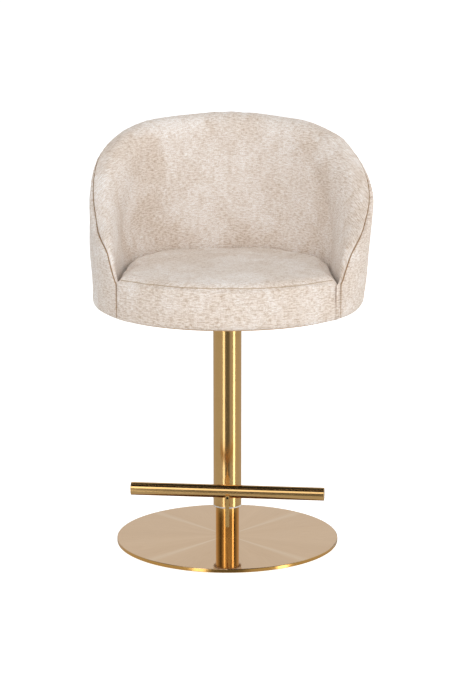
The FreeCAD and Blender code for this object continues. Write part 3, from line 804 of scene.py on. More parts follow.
GOLD, GOLD_DEEP = linear(238, 196, 132), linear(218, 170, 105)
FINISHES = {
    "gold_upright": Brushed(
        "brushed_gold_tube", GOLD, GOLD_DEEP, Run.ROUND_UPRIGHT,
        roughness=0.2, shine_length=0.1,
    ),
    "gold_bar": Brushed(
        "brushed_gold_bar", GOLD, GOLD_DEEP, Run.ROUND_BAR,
        roughness=0.17, shine_length=0.55,
    ),
    "gold_arm": Brushed(
        "brushed_gold_arm", linear(222, 184, 118), GOLD_DEEP, Run.UPRIGHT,
        roughness=0.5, shine_length=0.2,
    ),
    # deeper copy of the tube's gold for the inner column: the deeper tone is painted reflection of
    # the gold base plate
    "gold_inner_painted_reflection": Brushed(
        "brushed_gold_inner_painted_reflection", linear(228, 180, 104), linear(200, 148, 78), Run.ROUND_UPRIGHT,
        roughness=0.17, shine_length=0.1,
    ),
    "sunray": Sunray(),
    "seat": Chenille("seat_chenille", painted_sheen=0.95),
    "shell": Chenille("shell_chenille"),
    "thread": Thread(),
    "cushion_thread": Thread("cushion_thread", linear(196, 176, 152), linear(168, 146, 120)),
    "nylon": Grainy(
        "white_nylon", linear(232, 230, 224), linear(212, 208, 200),
        grain=(260, 260, 260), contrast=0.4, roughness=0.42, metallic=0.0, bump=0.05,
    ),
    "pad": Grainy(
        "foam_pad", linear(44, 44, 46), linear(62, 62, 64),
        grain=(700, 700, 700), contrast=0.6, roughness=0.9, metallic=0.0, bump=0.5, depth=0.0006,
    ),
    "bare": Grainy(
        "bare_steel", linear(164, 162, 158), linear(128, 126, 122),
        grain=(60, 60, 900), contrast=0.5, roughness=0.38, metallic=1.0, bump=0.1, depth=0.0004,
        wear=0.3,
    ),
    "black": Grainy(
        "black_paint", linear(30, 30, 31), linear(46, 45, 44),
        grain=(520, 520, 520), contrast=0.45, roughness=0.42, metallic=0.0, bump=0.22,
        depth=0.0005, wear=0.45, worn=linear(132, 128, 122),
    ),
    "bearing": Grainy(
        "bearing_steel", linear(196, 197, 200), linear(160, 160, 164),
        grain=(140, 140, 140), contrast=0.35, roughness=0.16, metallic=1.0, bump=0.03,
    ),
    "cage": Grainy(
        "bearing_cage", linear(190, 158, 92), linear(160, 128, 70),
        grain=(200, 200, 200), contrast=0.5, roughness=0.36, metallic=1.0, bump=0.08,
    ),
    "zinc": Grainy(
        "zinc_plate", linear(190, 190, 186), linear(168, 160, 132),
        grain=(170, 170, 170), contrast=0.6, roughness=0.32, metallic=1.0, bump=0.08, depth=0.0004,
        wear=0.4,
    ),
    "screw": Grainy(
        "dark_screw", linear(70, 60, 48), linear(104, 88, 66),
        grain=(400, 400, 400), contrast=0.5, roughness=0.34, metallic=1.0, bump=0.12, depth=0.0004,
        wear=0.5,
    ),
    "wood": Grainy(
        "birch_ply", linear(208, 172, 126), linear(166, 124, 82),
        grain=(18, 240, 620), contrast=0.65, roughness=0.62, metallic=0.0, bump=0.25, depth=0.0006,
    ),
    "foam": Grainy(
        "seat_foam", linear(226, 212, 160), linear(204, 186, 128),
        grain=(520, 520, 520), contrast=0.6, roughness=0.95, metallic=0.0, bump=0.7, depth=0.0010,
    ),
    "felt": Grainy(
        "dust_cloth", linear(34, 34, 36), linear(58, 58, 60),
        grain=(900, 900, 240), contrast=0.6, roughness=0.95, metallic=0.0, bump=0.5, depth=0.0006,
    ),
}

NODES_BY_FINISH = {
    "gold_upright": "outer_tube",
    "gold_bar": "footrest_bar footrest_cap_left footrest_cap_right",
    "gold_arm": "footrest_arm",
    "gold_inner_painted_reflection": "inner_column",
    "sunray": "base_plate",
    "pad": "base_pad",
    "nylon": "lower_bushing upper_bushing",
    "bare": "foot_plug column_cap tube_head",
    "black": "seat_plate plate_gussets",
    "bearing": "lower_race upper_race bearing_balls",
    "cage": "ball_cage",
    "zinc": "base_screws pivot_bolt pivot_washer seat_bolts seat_washers tee_nuts frame_screws",
    "screw": "footrest_screw",
    "wood": "seat_board shell_frame",
    "foam": "seat_foam outer_padding inner_padding",
    "felt": "dust_cover",
    "seat": "seat_cover",
    "shell": "outer_cover inner_cover",
}
NODE_FINISH = {node: key for key, nodes in NODES_BY_FINISH.items() for node in nodes.split()}


# ---------------------------------------------------------------- upholstery


def hermite(knots: Sequence[tuple[float, float]], x: np.ndarray) -> np.ndarray:
    """Smooth curve through knots, without overshoot.

    Args:
        knots: places and heights, in rising order of place.
        x: where to read it.
    Returns:
        The heights.
    """
    kx, ky = np.array(knots, float).T
    step, rise = np.diff(kx), np.diff(ky) / np.diff(kx)
    slope = np.concatenate([[rise[0]], np.zeros(len(kx) - 2), [rise[-1]]])
    for n in range(1, len(kx) - 1):
        if rise[n - 1] * rise[n] > 0:
            slope[n] = 2 / (1 / rise[n - 1] + 1 / rise[n])
    x = np.clip(x, kx[0], kx[-1])
    n = np.clip(np.searchsorted(kx, x) - 1, 0, len(step) - 1)
    t = (x - kx[n]) / step[n]
    return (
        (1 + 2 * t) * (1 - t) ** 2 * ky[n]
        + t * (1 - t) ** 2 * step[n] * slope[n]
        + t * t * (3 - 2 * t) * ky[n + 1]
        - t * t * (1 - t) * step[n] * slope[n + 1]
    )


def grid_faces(rows: int, columns: int, first: int = 0) -> list[tuple[int, int, int, int]]:
    """Quads of a grid of points stored row by row."""
    return [
        (
            first + r * columns + c, first + r * columns + c + 1, first + (r + 1) * columns + c + 1,
            first + (r + 1) * columns + c,
        )
        for r in range(rows - 1)
        for c in range(columns - 1)
    ]


@dataclass
class Tub:
    """The wrap-round back: padding and its two covers, sewn along the rim."""

    # the outer face
    floor: float = 0.5115
    base_round: float = 0.0225
    radius: float = 0.2865
    flare: float = 0.012
    flare_from: float = 0.540
    flare_rise: float = 0.195
    turn_in: float = 0.2655
    arm_front: float = -0.176
    # the rim's roll and its seam
    seat_top: float = 0.5302
    crown: float = 0.009
    inner_drop: float = 0.046
    arm_drop: float = 0.070
    tip_width: float = 0.0105
    welt: float = 0.0019
    groove: float = 0.0020
    column_step: float = 0.0040
    thread: float = 0.0011
    # seam height by distance behind the middle, and how far each side leans out by height
    seam_line: tuple = (
        (-0.176, 0.590), (-0.150, 0.653), (-0.080, 0.696), (0.030, 0.765),
        (0.130, 0.828), (0.220, 0.863), (0.299, 0.880),
    )
    left_lean: tuple = (
        (0.51, -0.003), (0.54, -0.0046), (0.60, -0.0058), (0.675, -0.0094),
        (0.735, -0.0115), (0.785, -0.006), (0.82, -0.002), (0.90, 0.0),
    )
    right_lean: tuple = (
        (0.51, 0.0), (0.54, 0.0004), (0.60, 0.0016), (0.675, 0.0042),
        (0.735, 0.0056), (0.82, 0.002), (0.90, 0.0),
    )
    # radii that turn an angle into a length of cloth
    girth: float = 0.29
    inner_girth: float = 0.25
    arm_girth: float = 0.287
    # the inner face
    inner_half: float = 0.2165
    inner_back: float = 0.2005
    inner_open: float = 0.0304
    inner_splay: float = 0.0568
    rim_inset: float = 0.009
    tuck: float = 0.013
    outward_share: float = 0.36
    inward_share: float = 0.64
    wall_merge: float = 0.25
    rim_rounds: int = 30
    thread_end: float = 0.520
    thread_rise: float = 1.15
    # waves of the padding and of the pile, as ripple takes them
    broad: tuple = (
        (4.1, 2.3, 5.2, 0.3, 0.0008),
        (-6.2, 3.1, 8.3, 1.9, 0.0005),
        (9.0, -7.0, 3.0, 4.0, 0.0004),
    )
    fuzz: tuple = (
        (131, 77, 163, 0.2, 0.00013),
        (-97, 145, 181, 2.2, 0.00012),
        (191, -117, 89, 4.1, 0.00010),
        (53, 211, -149, 1.1, 0.00010),
    )
    # how far each ring of an arm's nose closes in and stands forward
    nose: tuple = ((0.12, 0.0018), (0.30, 0.0034), (0.55, 0.0045), (0.80, 0.0050))

    def outer(self, phi: np.ndarray, z: np.ndarray) -> np.ndarray:
        """Radius of the outer face at an angle from the back and a height."""
        lean = np.where(np.sin(phi) < 0, hermite(self.left_lean, z), hermite(self.right_lean, z))
        rise = np.clip((z - self.flare_from) / self.flare_rise, 0, 1)
        return self.radius + self.flare * rise + lean * np.sin(phi) ** 2

    def inner(self, phi: np.ndarray, z: np.ndarray) -> np.ndarray:
        """Radius of the inner face, which opens out with height."""
        out = self.inner_open * smoothstep(0.560, 0.900, z) ** 0.8
        half, back = self.inner_half + out, self.inner_back + out
        centre = (back**2 - half**2) / (2 * back)
        arc = back - centre
        bowl = centre * np.cos(phi) + np.sqrt(
            np.maximum(arc**2 - (centre * np.sin(phi)) ** 2, 1e-9)
        )
        straight = half / np.maximum(np.abs(np.sin(phi)) + self.inner_splay * np.cos(phi), 0.2)
        return np.where(np.cos(phi) > 0, bowl, straight)

    def seam(self, phi: np.ndarray) -> tuple[np.ndarray, np.ndarray]:
        """Radius and height of the rim seam at angles from the back."""
        high = np.full(phi.shape, 0.75)
        for _ in range(self.rim_rounds):
            high = hermite(self.seam_line, self.outer(phi, high) * np.cos(phi))
        y = self.outer(phi, high) * np.cos(phi)
        return self.outer(phi, high) - self.rim_inset * smoothstep(-0.165, -0.060, y), high

    def section(self, phi: np.ndarray) -> tuple[np.ndarray, ...]:
        """Points of the tub's cross-section at each angle.

        Args:
            phi: angles from the back, one for each column.
        Returns:
            Radius, height, way along the section from the seam (outside below 0) and cloth height,
            each rows by columns, from the turned-in edge up, over the rim and down inside.
        """
        seam_r, high = self.seam(phi)
        one = np.ones_like(phi)
        rows_r, rows_z = [], []
        for a in np.linspace(0, math.pi / 2, 7):
            base = self.outer(phi, one * (self.floor + self.base_round))
            rows_r.append(base - self.base_round * (1 - np.sin(a)))
            rows_z.append(one * (self.floor + self.base_round * (1 - np.cos(a))))
        start = self.floor + self.base_round
        fade = 1 - (1 - np.linspace(0, 1, 46)[1:]) ** 1.9
        for t in fade:
            z = start + (high - start) * t
            tuck = smoothstep(0.0, 1.0, 1 - (high - z) / self.tuck)
            rows_r.append(self.outer(phi, z) - (self.outer(phi, high) - seam_r) * tuck)
            rows_z.append(z)
        seam_row = len(rows_r) - 1
        side = smoothstep(0.7, 1.45, np.abs(phi))
        drop = one * self.inner_drop
        for _ in range(3):
            low = np.maximum(high + self.crown - drop, self.seat_top + 0.01)
            gap = seam_r - self.inner(phi, low)
            width = 0.5 * (gap + self.tip_width + np.sqrt((gap - self.tip_width) ** 2 + 0.008**2))
            drop = np.clip(
                (0.95 + 1.1 * side) * width, 0.012, self.inner_drop + self.arm_drop * side
            )
            drop = np.minimum(drop, high + self.crown - self.seat_top - 0.012)
        crown = np.minimum(self.crown, 0.30 * width)
        out_w, in_w = self.outward_share * width, self.inward_share * width
        for a in np.linspace(0, math.pi / 2, 13)[1:]:
            rows_r.append(seam_r - out_w * (1 - np.cos(a)))
            rows_z.append(high + crown * np.sin(a))
        for a in np.linspace(0, math.pi / 2, 16)[1:]:
            rows_r.append(seam_r - out_w - in_w * np.sin(a))
            rows_z.append(high + crown - drop * (1 - np.cos(a)))
        end_r, end_z = rows_r[-1], rows_z[-1]
        self.roll_end = len(rows_r) - 1
        for t in np.linspace(0, 1, 44)[1:]:
            z = end_z + (self.seat_top - end_z) * t
            wall = np.minimum(self.inner(phi, z), end_r + 0.001)
            wall = np.minimum(wall, self.outer(phi, z) - self.tip_width)
            rows_r.append(end_r + (wall - end_r) * smoothstep(0, self.wall_merge, t))
            rows_z.append(z)
        r, z = np.array(rows_r), np.array(rows_z)
        run = np.zeros_like(r)
        run[1:] = np.cumsum(np.hypot(np.diff(r, axis=0), np.diff(z, axis=0)), axis=0)
        run -= run[seam_row]
        return r, z, run, np.broadcast_to(high, r.shape)

    def relief(
        self, phi: np.ndarray, z: np.ndarray, run: np.ndarray, end: np.ndarray, lean: np.ndarray
    ) -> np.ndarray:
        """How far the cloth stands out of the plain section.

        Args:
            phi: angle from the back.
            z: height.
            run: way from the rim seam along the section.
            end: way from the arm's front seam along the outside.
            lean: how far a way up the section counts as a way off the sloping seam.
        Returns:
            Height of the cloth's relief, in metres.
        """
        outside = np.where(run < 0, np.minimum(-run * lean, end), np.inf)
        inside = np.where(run >= 0, run * lean, np.inf)
        near = np.minimum(outside, inside)
        total = -self.groove * ridge(near, 0.0, 0.0026)
        total += self.welt * ridge(outside, 0.0062, 0.0026)
        total -= 0.0009 * ridge(outside, 0.0118, 0.0022)
        total += 0.0008 * ridge(inside, 0.0050, 0.0030)
        way = phi * self.girth
        gather = np.sin(way * 240 + 1.7 * np.sin(way * 37)) * 0.55 + np.sin(way * 391 + 2.1) * 0.45
        total += 0.00050 * gather * ridge(near, 0.010, 0.009)
        tug = np.sin(way * 96 + 2.2 * np.sin(way * 19)) * (0.5 + 0.5 * np.sin(way * 23 + 0.8))
        total += 0.0010 * tug * ridge(np.where(run > 0, run, 1), 0.034, 0.024)
        place = np.stack([0.28 * np.sin(phi), 0.28 * np.cos(phi), z], -1).reshape(-1, 3)
        uneven = ripple(place, self.broad).reshape(z.shape)
        return total + uneven + ripple(place, self.fuzz).reshape(z.shape)

    def build(self) -> None:
        """Make the tub and its stitched lower edge, and lay out the path of its piping thread."""
        end_phi = math.acos(self.arm_front / self.radius)
        count = int(2 * end_phi * self.girth / self.column_step) | 1
        phi = np.linspace(-end_phi, end_phi, count)
        for _ in range(4):
            reach = self.outer(phi[[0, -1]], np.full(2, 0.56))
            limit = np.arccos(self.arm_front / reach)
            phi = np.interp(np.linspace(-1, 1, count), [-1, 0, 1], [-limit[0], 0, limit[1]])
        r, z, run, high = self.section(phi)
        ang = np.broadcast_to(phi, r.shape)
        end = np.minimum(ang - phi[0], phi[-1] - ang) * self.arm_girth
        columns = r.shape[1]
        ahead = np.gradient(r, axis=0), np.gradient(z, axis=0)
        size = np.hypot(*ahead) + 1e-9
        normal_r, normal_z = ahead[1] / size, -ahead[0] / size
        slope = np.gradient(high[0], phi * self.girth)
        lean = np.broadcast_to(1 / np.sqrt(1 + slope**2), r.shape)
        lift = self.relief(ang, z, run, end, lean) * smoothstep(0.0, 0.010, z - self.floor + 0.002)
        rr, zz = r + lift * normal_r, z + lift * normal_z
        shape = np.stack([rr * np.sin(ang), rr * np.cos(ang), zz], -1)
        foot = self.roll_end
        rolled = z[foot] + run[foot] - run
        across = ang * np.where(run < 0, self.girth, self.inner_girth)
        cloth = np.stack([across, np.where((run < 0) | (run > run[foot]), z, rolled)], -1)
        floor_rows = self.underside(phi, shape[-1], shape[0])
        points = np.concatenate([shape, floor_rows])
        maps = np.concatenate([cloth, floor_rows[..., :2]])
        total = len(points)
        ring = [tuple(range(c, total * columns, columns)) for c in range(columns)]
        faces = grid_faces(total, columns)
        last = (total - 1) * columns
        faces += [(last + c, last + c + 1, c + 1, c) for c in range(columns - 1)]
        flat, flat_map = points.reshape(-1, 3), maps.reshape(-1, 2)
        tip_points, tip_maps, tip_faces = self.tips(points, ring, len(flat))
        body = mesh_object("tub_upholstery", np.concatenate([flat, tip_points]), faces + tip_faces)
        every = np.concatenate([flat_map, tip_maps])
        layer = body.data.uv_layers.new(name="cloth")
        index = np.zeros(len(body.data.loops), np.int64)
        body.data.loops.foreach_get("vertex_index", index)
        layer.data.foreach_set("uv", every[index].astype(np.float32).ravel())
        outward(body, 2e-5)
        smooth(body, 70)
        row = int(np.argmin(np.abs(run[:, count // 2])))
        out = [normal_r[row] * np.sin(phi), normal_r[row] * np.cos(phi), normal_z[row]]
        self.rim = shape[row] + self.thread_rise * self.thread * np.stack(out, -1)
        self.body = body

    def underside(self, phi: np.ndarray, inside: np.ndarray, outside: np.ndarray) -> np.ndarray:
        """Rows that close the tub round the board.

        Args:
            phi: angles from the back, one for each column.
            inside: the inner wall's lowest row.
            outside: the turned-in edge's first row.
        Returns:
            Rows of points from the inner wall's foot to the turned-in edge.
        """
        ways = np.stack([np.sin(phi), np.cos(phi), 0 * phi], -1)
        foot = np.hypot(inside[:, 0], inside[:, 1])
        turned = np.maximum(np.full(len(phi), self.turn_in), foot + 0.0005)
        limit = np.hypot(outside[:, 0], outside[:, 1]) - 0.0005
        turned = np.minimum(turned, limit)
        rows = [(foot + (turned - foot) * t, self.seat_top) for t in (0.35, 0.7, 1.0)]
        rows += [(turned, level) for level in (0.524, 0.518, self.floor)]
        made = []
        for reach, level in rows:
            row = ways * reach[:, None]
            row[:, 2] = level
            made.append(row)
        return np.array(made)

    def tips(
        self, points: np.ndarray, ring: list, first: int
    ) -> tuple[np.ndarray, np.ndarray, list]:
        """Round noses that close the two arms in front.

        Args:
            points: the tub's rows of points.
            ring: point numbers round each column's section.
            first: number of the first new point.
        Returns:
            New points, their cloth map and the faces.
        """
        made, maps, faces = [], [], []
        for column, side in ((0, -1), (-1, 1)):
            loop = ring[column]
            outline = points[:, column]
            middle = outline.mean(0)
            previous = list(loop)
            span = np.minimum(np.abs(outline[:, 2] - middle[2]), 1)
            ahead = smoothstep(0.0, 0.006, outline[:, 2] - self.floor + 0.001 * span)
            centre = (outline[:, 0].min() + outline[:, 0].max()) / 2
            size = len(loop)
            for share, bulge in self.nose:
                target = outline.copy()
                target[:, 0] = outline[:, 0] + (centre - outline[:, 0]) * share
                target[:, 2] = outline[:, 2] + (
                    np.clip(outline[:, 2], 0.516, 0.586) - outline[:, 2]
                ) * share
                target[:, 1] = outline[:, 1] - bulge * ahead
                numbers = list(range(first + len(made), first + len(made) + len(target)))
                made.extend(target)
                maps.extend(np.stack([side * 0.64 + target[:, 0] - middle[0], target[:, 2]], -1))
                for n in range(size):
                    after = (n + 1) % size
                    faces.append((previous[n], previous[after], numbers[after], numbers[n]))
                previous = numbers
            for n in range(size // 2 - 1):
                a, b, c, d = previous[n], previous[n + 1], previous[
                    size - 2 - n
                ], previous[size - 1 - n]
                faces.append((a, b, c, d) if len({a, b, c, d}) == 4 else (a, b, c))
        return np.array(made), np.array(maps), faces

    def piping(self) -> None:
        """Thin seam thread lying in the rim's groove and down the arms' fronts."""
        line = self.rim.astype(np.float32).astype(float)
        down, up = (
            [(*p[:2], z) for z in np.linspace(p[2], self.thread_end, 14)[1:]] for p in line[[0, -1]]
        )
        path = np.array([*down[::-1], *line, *up])
        thin = np.ones(len(path))
        thin[: len(down)] = np.linspace(0.45, 0.8, len(down))
        thin[-len(up) :] = np.linspace(0.8, 0.45, len(up))
        obj = thread_object("tub_seam_thread", path, self.thread, thin)
        ride(obj, MATERIALS["thread"])

    def dress(self) -> None:
        """Material, body, slot and the nodes that the tub stands for."""
        ride(self.body, MATERIALS["shell"])
        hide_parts("outer_cover", "inner_cover", "outer_padding", "inner_padding")
        self.piping()


CUSHION_CENTRE = np.array([0.0, -0.04])


@dataclass
class Cushion:
    """The seat cushion: a crowned top sewn to an upright front band."""

    floor: float = 0.5128
    start_top: float = 0.5985
    inset: float = 0.0035
    seam: float = 0.5975
    voxel: float = 0.0058
    pressure: float = 2.5
    cap: float = 0.0065
    top_limit: float = 0.6105
    thread: float = 0.0008
    seam_end: float = -0.150
    # the plan: half widths and distances behind the middle
    back_half: float = 0.2155
    back_y: float = 0.1985
    front_half: float = 0.2255
    corner_y: float = -0.176
    front_y: float = -0.283
    plan_step: float = 0.003
    # how the swelling is held, then what the sewing adds
    frames: int = 20
    inward_damping: float = 0.9
    edge_hold: float = 0.75
    crown: float = 0.0035
    groove: float = 0.0044
    lip: float = 0.0009
    fuzz: tuple = (
        (131, 77, 163, 0.2, 0.00016),
        (-97, 145, 181, 2.2, 0.00014),
        (191, -117, 89, 4.1, 0.00012),
    )
    broad: tuple = (
        (3.2, 2.1, 4.0, 0.4, 0.0011),
        (-5.1, 4.2, 6.0, 2.0, 0.0008),
        (8.0, 6.5, 3.0, 4.4, 0.0005),
    )

    def outline(self, inset: float = 0.0, step: float = 0.006) -> np.ndarray:
        """Plan of the cushion as a closed loop of points.

        Args:
            inset: how far inside the full plan it runs.
            step: distance between points.
        Returns:
            Points, n by 2.
        """

        def arc(half: float, at: float, peak: float) -> np.ndarray:
            """Arc from (half, at) over (0, peak) to (-half, at)."""
            rise = peak - at
            centre = at + (rise**2 - half**2) / (2 * rise)
            radius = abs(peak - centre)
            span = math.atan2(half, (at - centre) * np.sign(rise))
            n = max(8, int(2 * span * radius / step))
            a = np.linspace(span, -span, n)
            return np.stack([radius * np.sin(a), centre + np.sign(rise) * radius * np.cos(a)], -1)

        def side(start: float, end: float, y_start: float, y_end: float) -> np.ndarray:
            """Straight side between two arcs, without its ends."""
            ends = np.linspace(start, end, 28), np.linspace(y_start, y_end, 28)
            return np.stack(ends, -1)[1:-1]

        back = arc(self.back_half - inset, 0.0, self.back_y - inset)
        front = arc(self.front_half - inset, self.corner_y, self.front_y + inset)[::-1]
        left = side(back[-1, 0], front[0, 0], 0, self.corner_y)
        right = side(front[-1, 0], back[0, 0], self.corner_y, 0)
        return np.concatenate([back, left, front, right])

    def build(self) -> None:
        """Make the cushion: a block, swelled as cloth under pressure, then sewn."""
        plan = self.outline(self.inset)
        n = len(plan)
        low, high = self.floor, self.start_top
        levels = [
            (0.010, low), (0.002, low + 0.004), (0.0, low + 0.016),
            (0.0, high - 0.010), (0.001, high - 0.0010), (0.007, high + 0.0015),
        ]
        points, faces = [], []
        for pull, z in levels:
            ring = plan + (CUSHION_CENTRE - plan) * (
                pull / np.linalg.norm(CUSHION_CENTRE - plan, axis=1)
            )[:, None]
            points.extend(np.hstack([ring, np.full((n, 1), z)]))
        for first in range(0, (len(levels) - 1) * n, n):
            for a in range(n):
                after = first + (a + 1) % n
                faces.append((first + a, after, after + n, first + a + n))
        faces += [tuple(range(n))[::-1], tuple(range((len(levels) - 1) * n, len(levels) * n))]
        self.obj = mesh_object("seat_cushion", np.array(points), faces)
        outward(self.obj)
        modifier(self.obj, "REMESH", mode="VOXEL", voxel_size=self.voxel, adaptivity=0.0)
        self.swell()
        modifier(self.obj, "SUBSURF", levels=1, render_levels=1)
        self.sew()
        outward(self.obj, 1e-7)
        self.map_cloth()
        smooth(self.obj, 80)

    def swell(self) -> None:
        """Blow the block up as cloth, with its underside held."""
        rest = corners(self.obj)
        held = self.obj.vertex_groups.new(name="held")
        held.add([n for n, p in enumerate(rest) if p[2] < self.floor + 0.006], 1.0, "REPLACE")
        activate(self.obj)
        mod = self.obj.modifiers.new("Swell", "CLOTH")
        cloth = mod.settings
        cloth.quality, cloth.mass = 5, 0.3
        cloth.use_pressure, cloth.uniform_pressure_force = True, self.pressure
        cloth.tension_stiffness = cloth.compression_stiffness = 12
        cloth.vertex_group_mass = "held"
        cloth.effector_weights.gravity = 0
        mod.collision_settings.use_collision = False
        mod.point_cache.frame_start, mod.point_cache.frame_end = 1, self.frames
        for step in range(1, self.frames + 1):
            bpy.context.scene.frame_set(step)
        shaped = self.obj.evaluated_get(bpy.context.evaluated_depsgraph_get())
        moved = np.zeros(len(rest) * 3)
        shaped.data.vertices.foreach_get("co", moved)
        self.obj.modifiers.remove(mod)
        bpy.context.scene.frame_set(1)
        go = moved.reshape(-1, 3) - rest
        out = rest[:, :2] - CUSHION_CENTRE
        out /= np.linalg.norm(out, axis=1, keepdims=True) + 1e-9
        inward = np.minimum(np.einsum("ij,ij->i", go[:, :2], out), 0.0)
        go[:, :2] -= self.inward_damping * inward[:, None] * out
        length = np.linalg.norm(go, axis=1, keepdims=True) + 1e-9
        depth, _ = self.edge_distance(rest)
        tight = smoothstep(0.030, 0.008, depth) * smoothstep(0.584, 0.594, rest[:, 2])
        cap = self.cap * (1 - self.edge_hold * tight)[:, None]
        set_corners(self.obj, rest + go * np.minimum(1.0, cap / length))
        self.obj.vertex_groups.clear()

    def edge_distance(self, co: np.ndarray) -> tuple[np.ndarray, np.ndarray]:
        """Where points lie against the plan's edge.

        Args:
            co: points, n by 3.
        Returns:
            Distance inside the edge and way along it, one of each for each point.
        """
        plan = self.outline(0.0, self.plan_step)
        tree = kdtree.KDTree(len(plan))
        for n, p in enumerate(plan):
            tree.insert((p[0], p[1], 0), n)
        tree.balance()
        way = np.concatenate([[0], np.cumsum(np.linalg.norm(np.diff(plan, axis=0), axis=1))])
        found = [tree.find((p[0], p[1], 0)) for p in co]
        near = np.array([plan[f[1]] for f in found])
        inside = np.sign(np.einsum("ij,ij->i", near - co[:, :2], near - CUSHION_CENTRE))
        return inside * np.array([f[2] for f in found]), way[[f[1] for f in found]]

    def sew(self) -> None:
        """Crown, front seam, puckers and a flat underside."""
        co = corners(self.obj)
        no = corner_normals(self.obj)
        depth, way = self.edge_distance(co)
        wave = 0.0016 * np.sin(way * 21 + 0.6) + 0.0009 * np.sin(way * 47)
        level = self.seam + wave
        side = np.clip(1 - depth / 0.030, 0, 1) * (co[:, 2] > 0.56)
        top = smoothstep(0.012, 0.10, depth) * (co[:, 2] > 0.57)
        co[:, 2] += self.crown * top
        away = np.hypot(co[:, 2] - level, np.clip(depth - 0.010, 0, None) * 0.8)
        front = smoothstep(0.02, -0.12, co[:, 1])
        groove = self.lip * ridge(away, 0.0080, 0.0040) - self.groove * ridge(away, 0.0, 0.0040)
        pucker = 0.0006 * np.sin(way * 205 + 2 * np.sin(way * 31)) * ridge(away, 0.0, 0.012)
        sewn = (groove + pucker) * side * (0.35 + 0.65 * front)
        slack = ripple(co, self.broad) * smoothstep(0.530, 0.560, co[:, 2])
        co += no * (sewn + ripple(co, self.fuzz) + slack)[:, None]
        bound = np.where(co[:, 1] > -0.170, -0.0008, -0.0060)
        push = np.clip(bound - self.edge_distance(co)[0], 0, None)
        flat = CUSHION_CENTRE - co[:, :2]
        co[:, :2] += flat / (np.linalg.norm(flat, axis=1, keepdims=True) + 1e-9) * push[:, None]
        co[:, 2] = np.clip(co[:, 2], self.floor, self.top_limit)
        set_corners(self.obj, co)

    def stitch(self) -> None:
        """Seam thread along the front edge, lying in the crease between top and band."""
        plan = self.outline(0.0, self.plan_step)
        plan = plan[plan[:, 1] < self.seam_end]
        far = np.linalg.norm(np.diff(plan, axis=0), axis=1)
        if far.max() > 0.02:
            plan = np.roll(plan, -int(far.argmax()) - 1, axis=0)
        path = []
        for p in plan:
            inward = CUSHION_CENTRE - p
            inward /= np.linalg.norm(inward)
            start = Vector((*(p - 0.03 * inward), self.seam))
            hit, spot, normal, _ = self.obj.ray_cast(start, Vector((*inward, 0.0)))
            if hit:
                path.append(np.array(spot) + 0.25 * self.thread * np.array(normal))
        path = np.array(path)
        soft = path.copy()
        for _ in range(3):
            soft[1:-1] = (soft[:-2] + 2 * soft[1:-1] + soft[2:]) / 4
        obj = thread_object("cushion_seam_thread", soft, self.thread, np.ones(len(soft)))
        ride(obj, MATERIALS["cushion_thread"])

    def map_cloth(self) -> None:
        """Lay the weave over the top and round the band."""
        mesh = self.obj.data
        co = corners(self.obj)
        _, way = self.edge_distance(co)
        layer = mesh.uv_layers.new(name="cloth")
        normal = np.zeros(len(mesh.polygons) * 3)
        mesh.polygons.foreach_get("normal", normal)
        normal = normal.reshape(-1, 3)
        uv = np.zeros((len(mesh.loops), 2), np.float32)
        for face in mesh.polygons:
            level = abs(normal[face.index, 2]) > 0.62
            for loop in face.loop_indices:
                v = mesh.loops[loop].vertex_index
                uv[loop] = (co[v, 0], co[v, 1]) if level else (way[v], co[v, 2])
        layer.data.foreach_set("uv", uv.ravel())

    def dress(self) -> None:
        """Material, body, slot and the nodes that the cushion stands for."""
        ride(self.obj, MATERIALS["seat"])
        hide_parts("seat_cover", "seat_foam")
        self.stitch()


# ---------------------------------------------------------------- metal and under-seat pieces


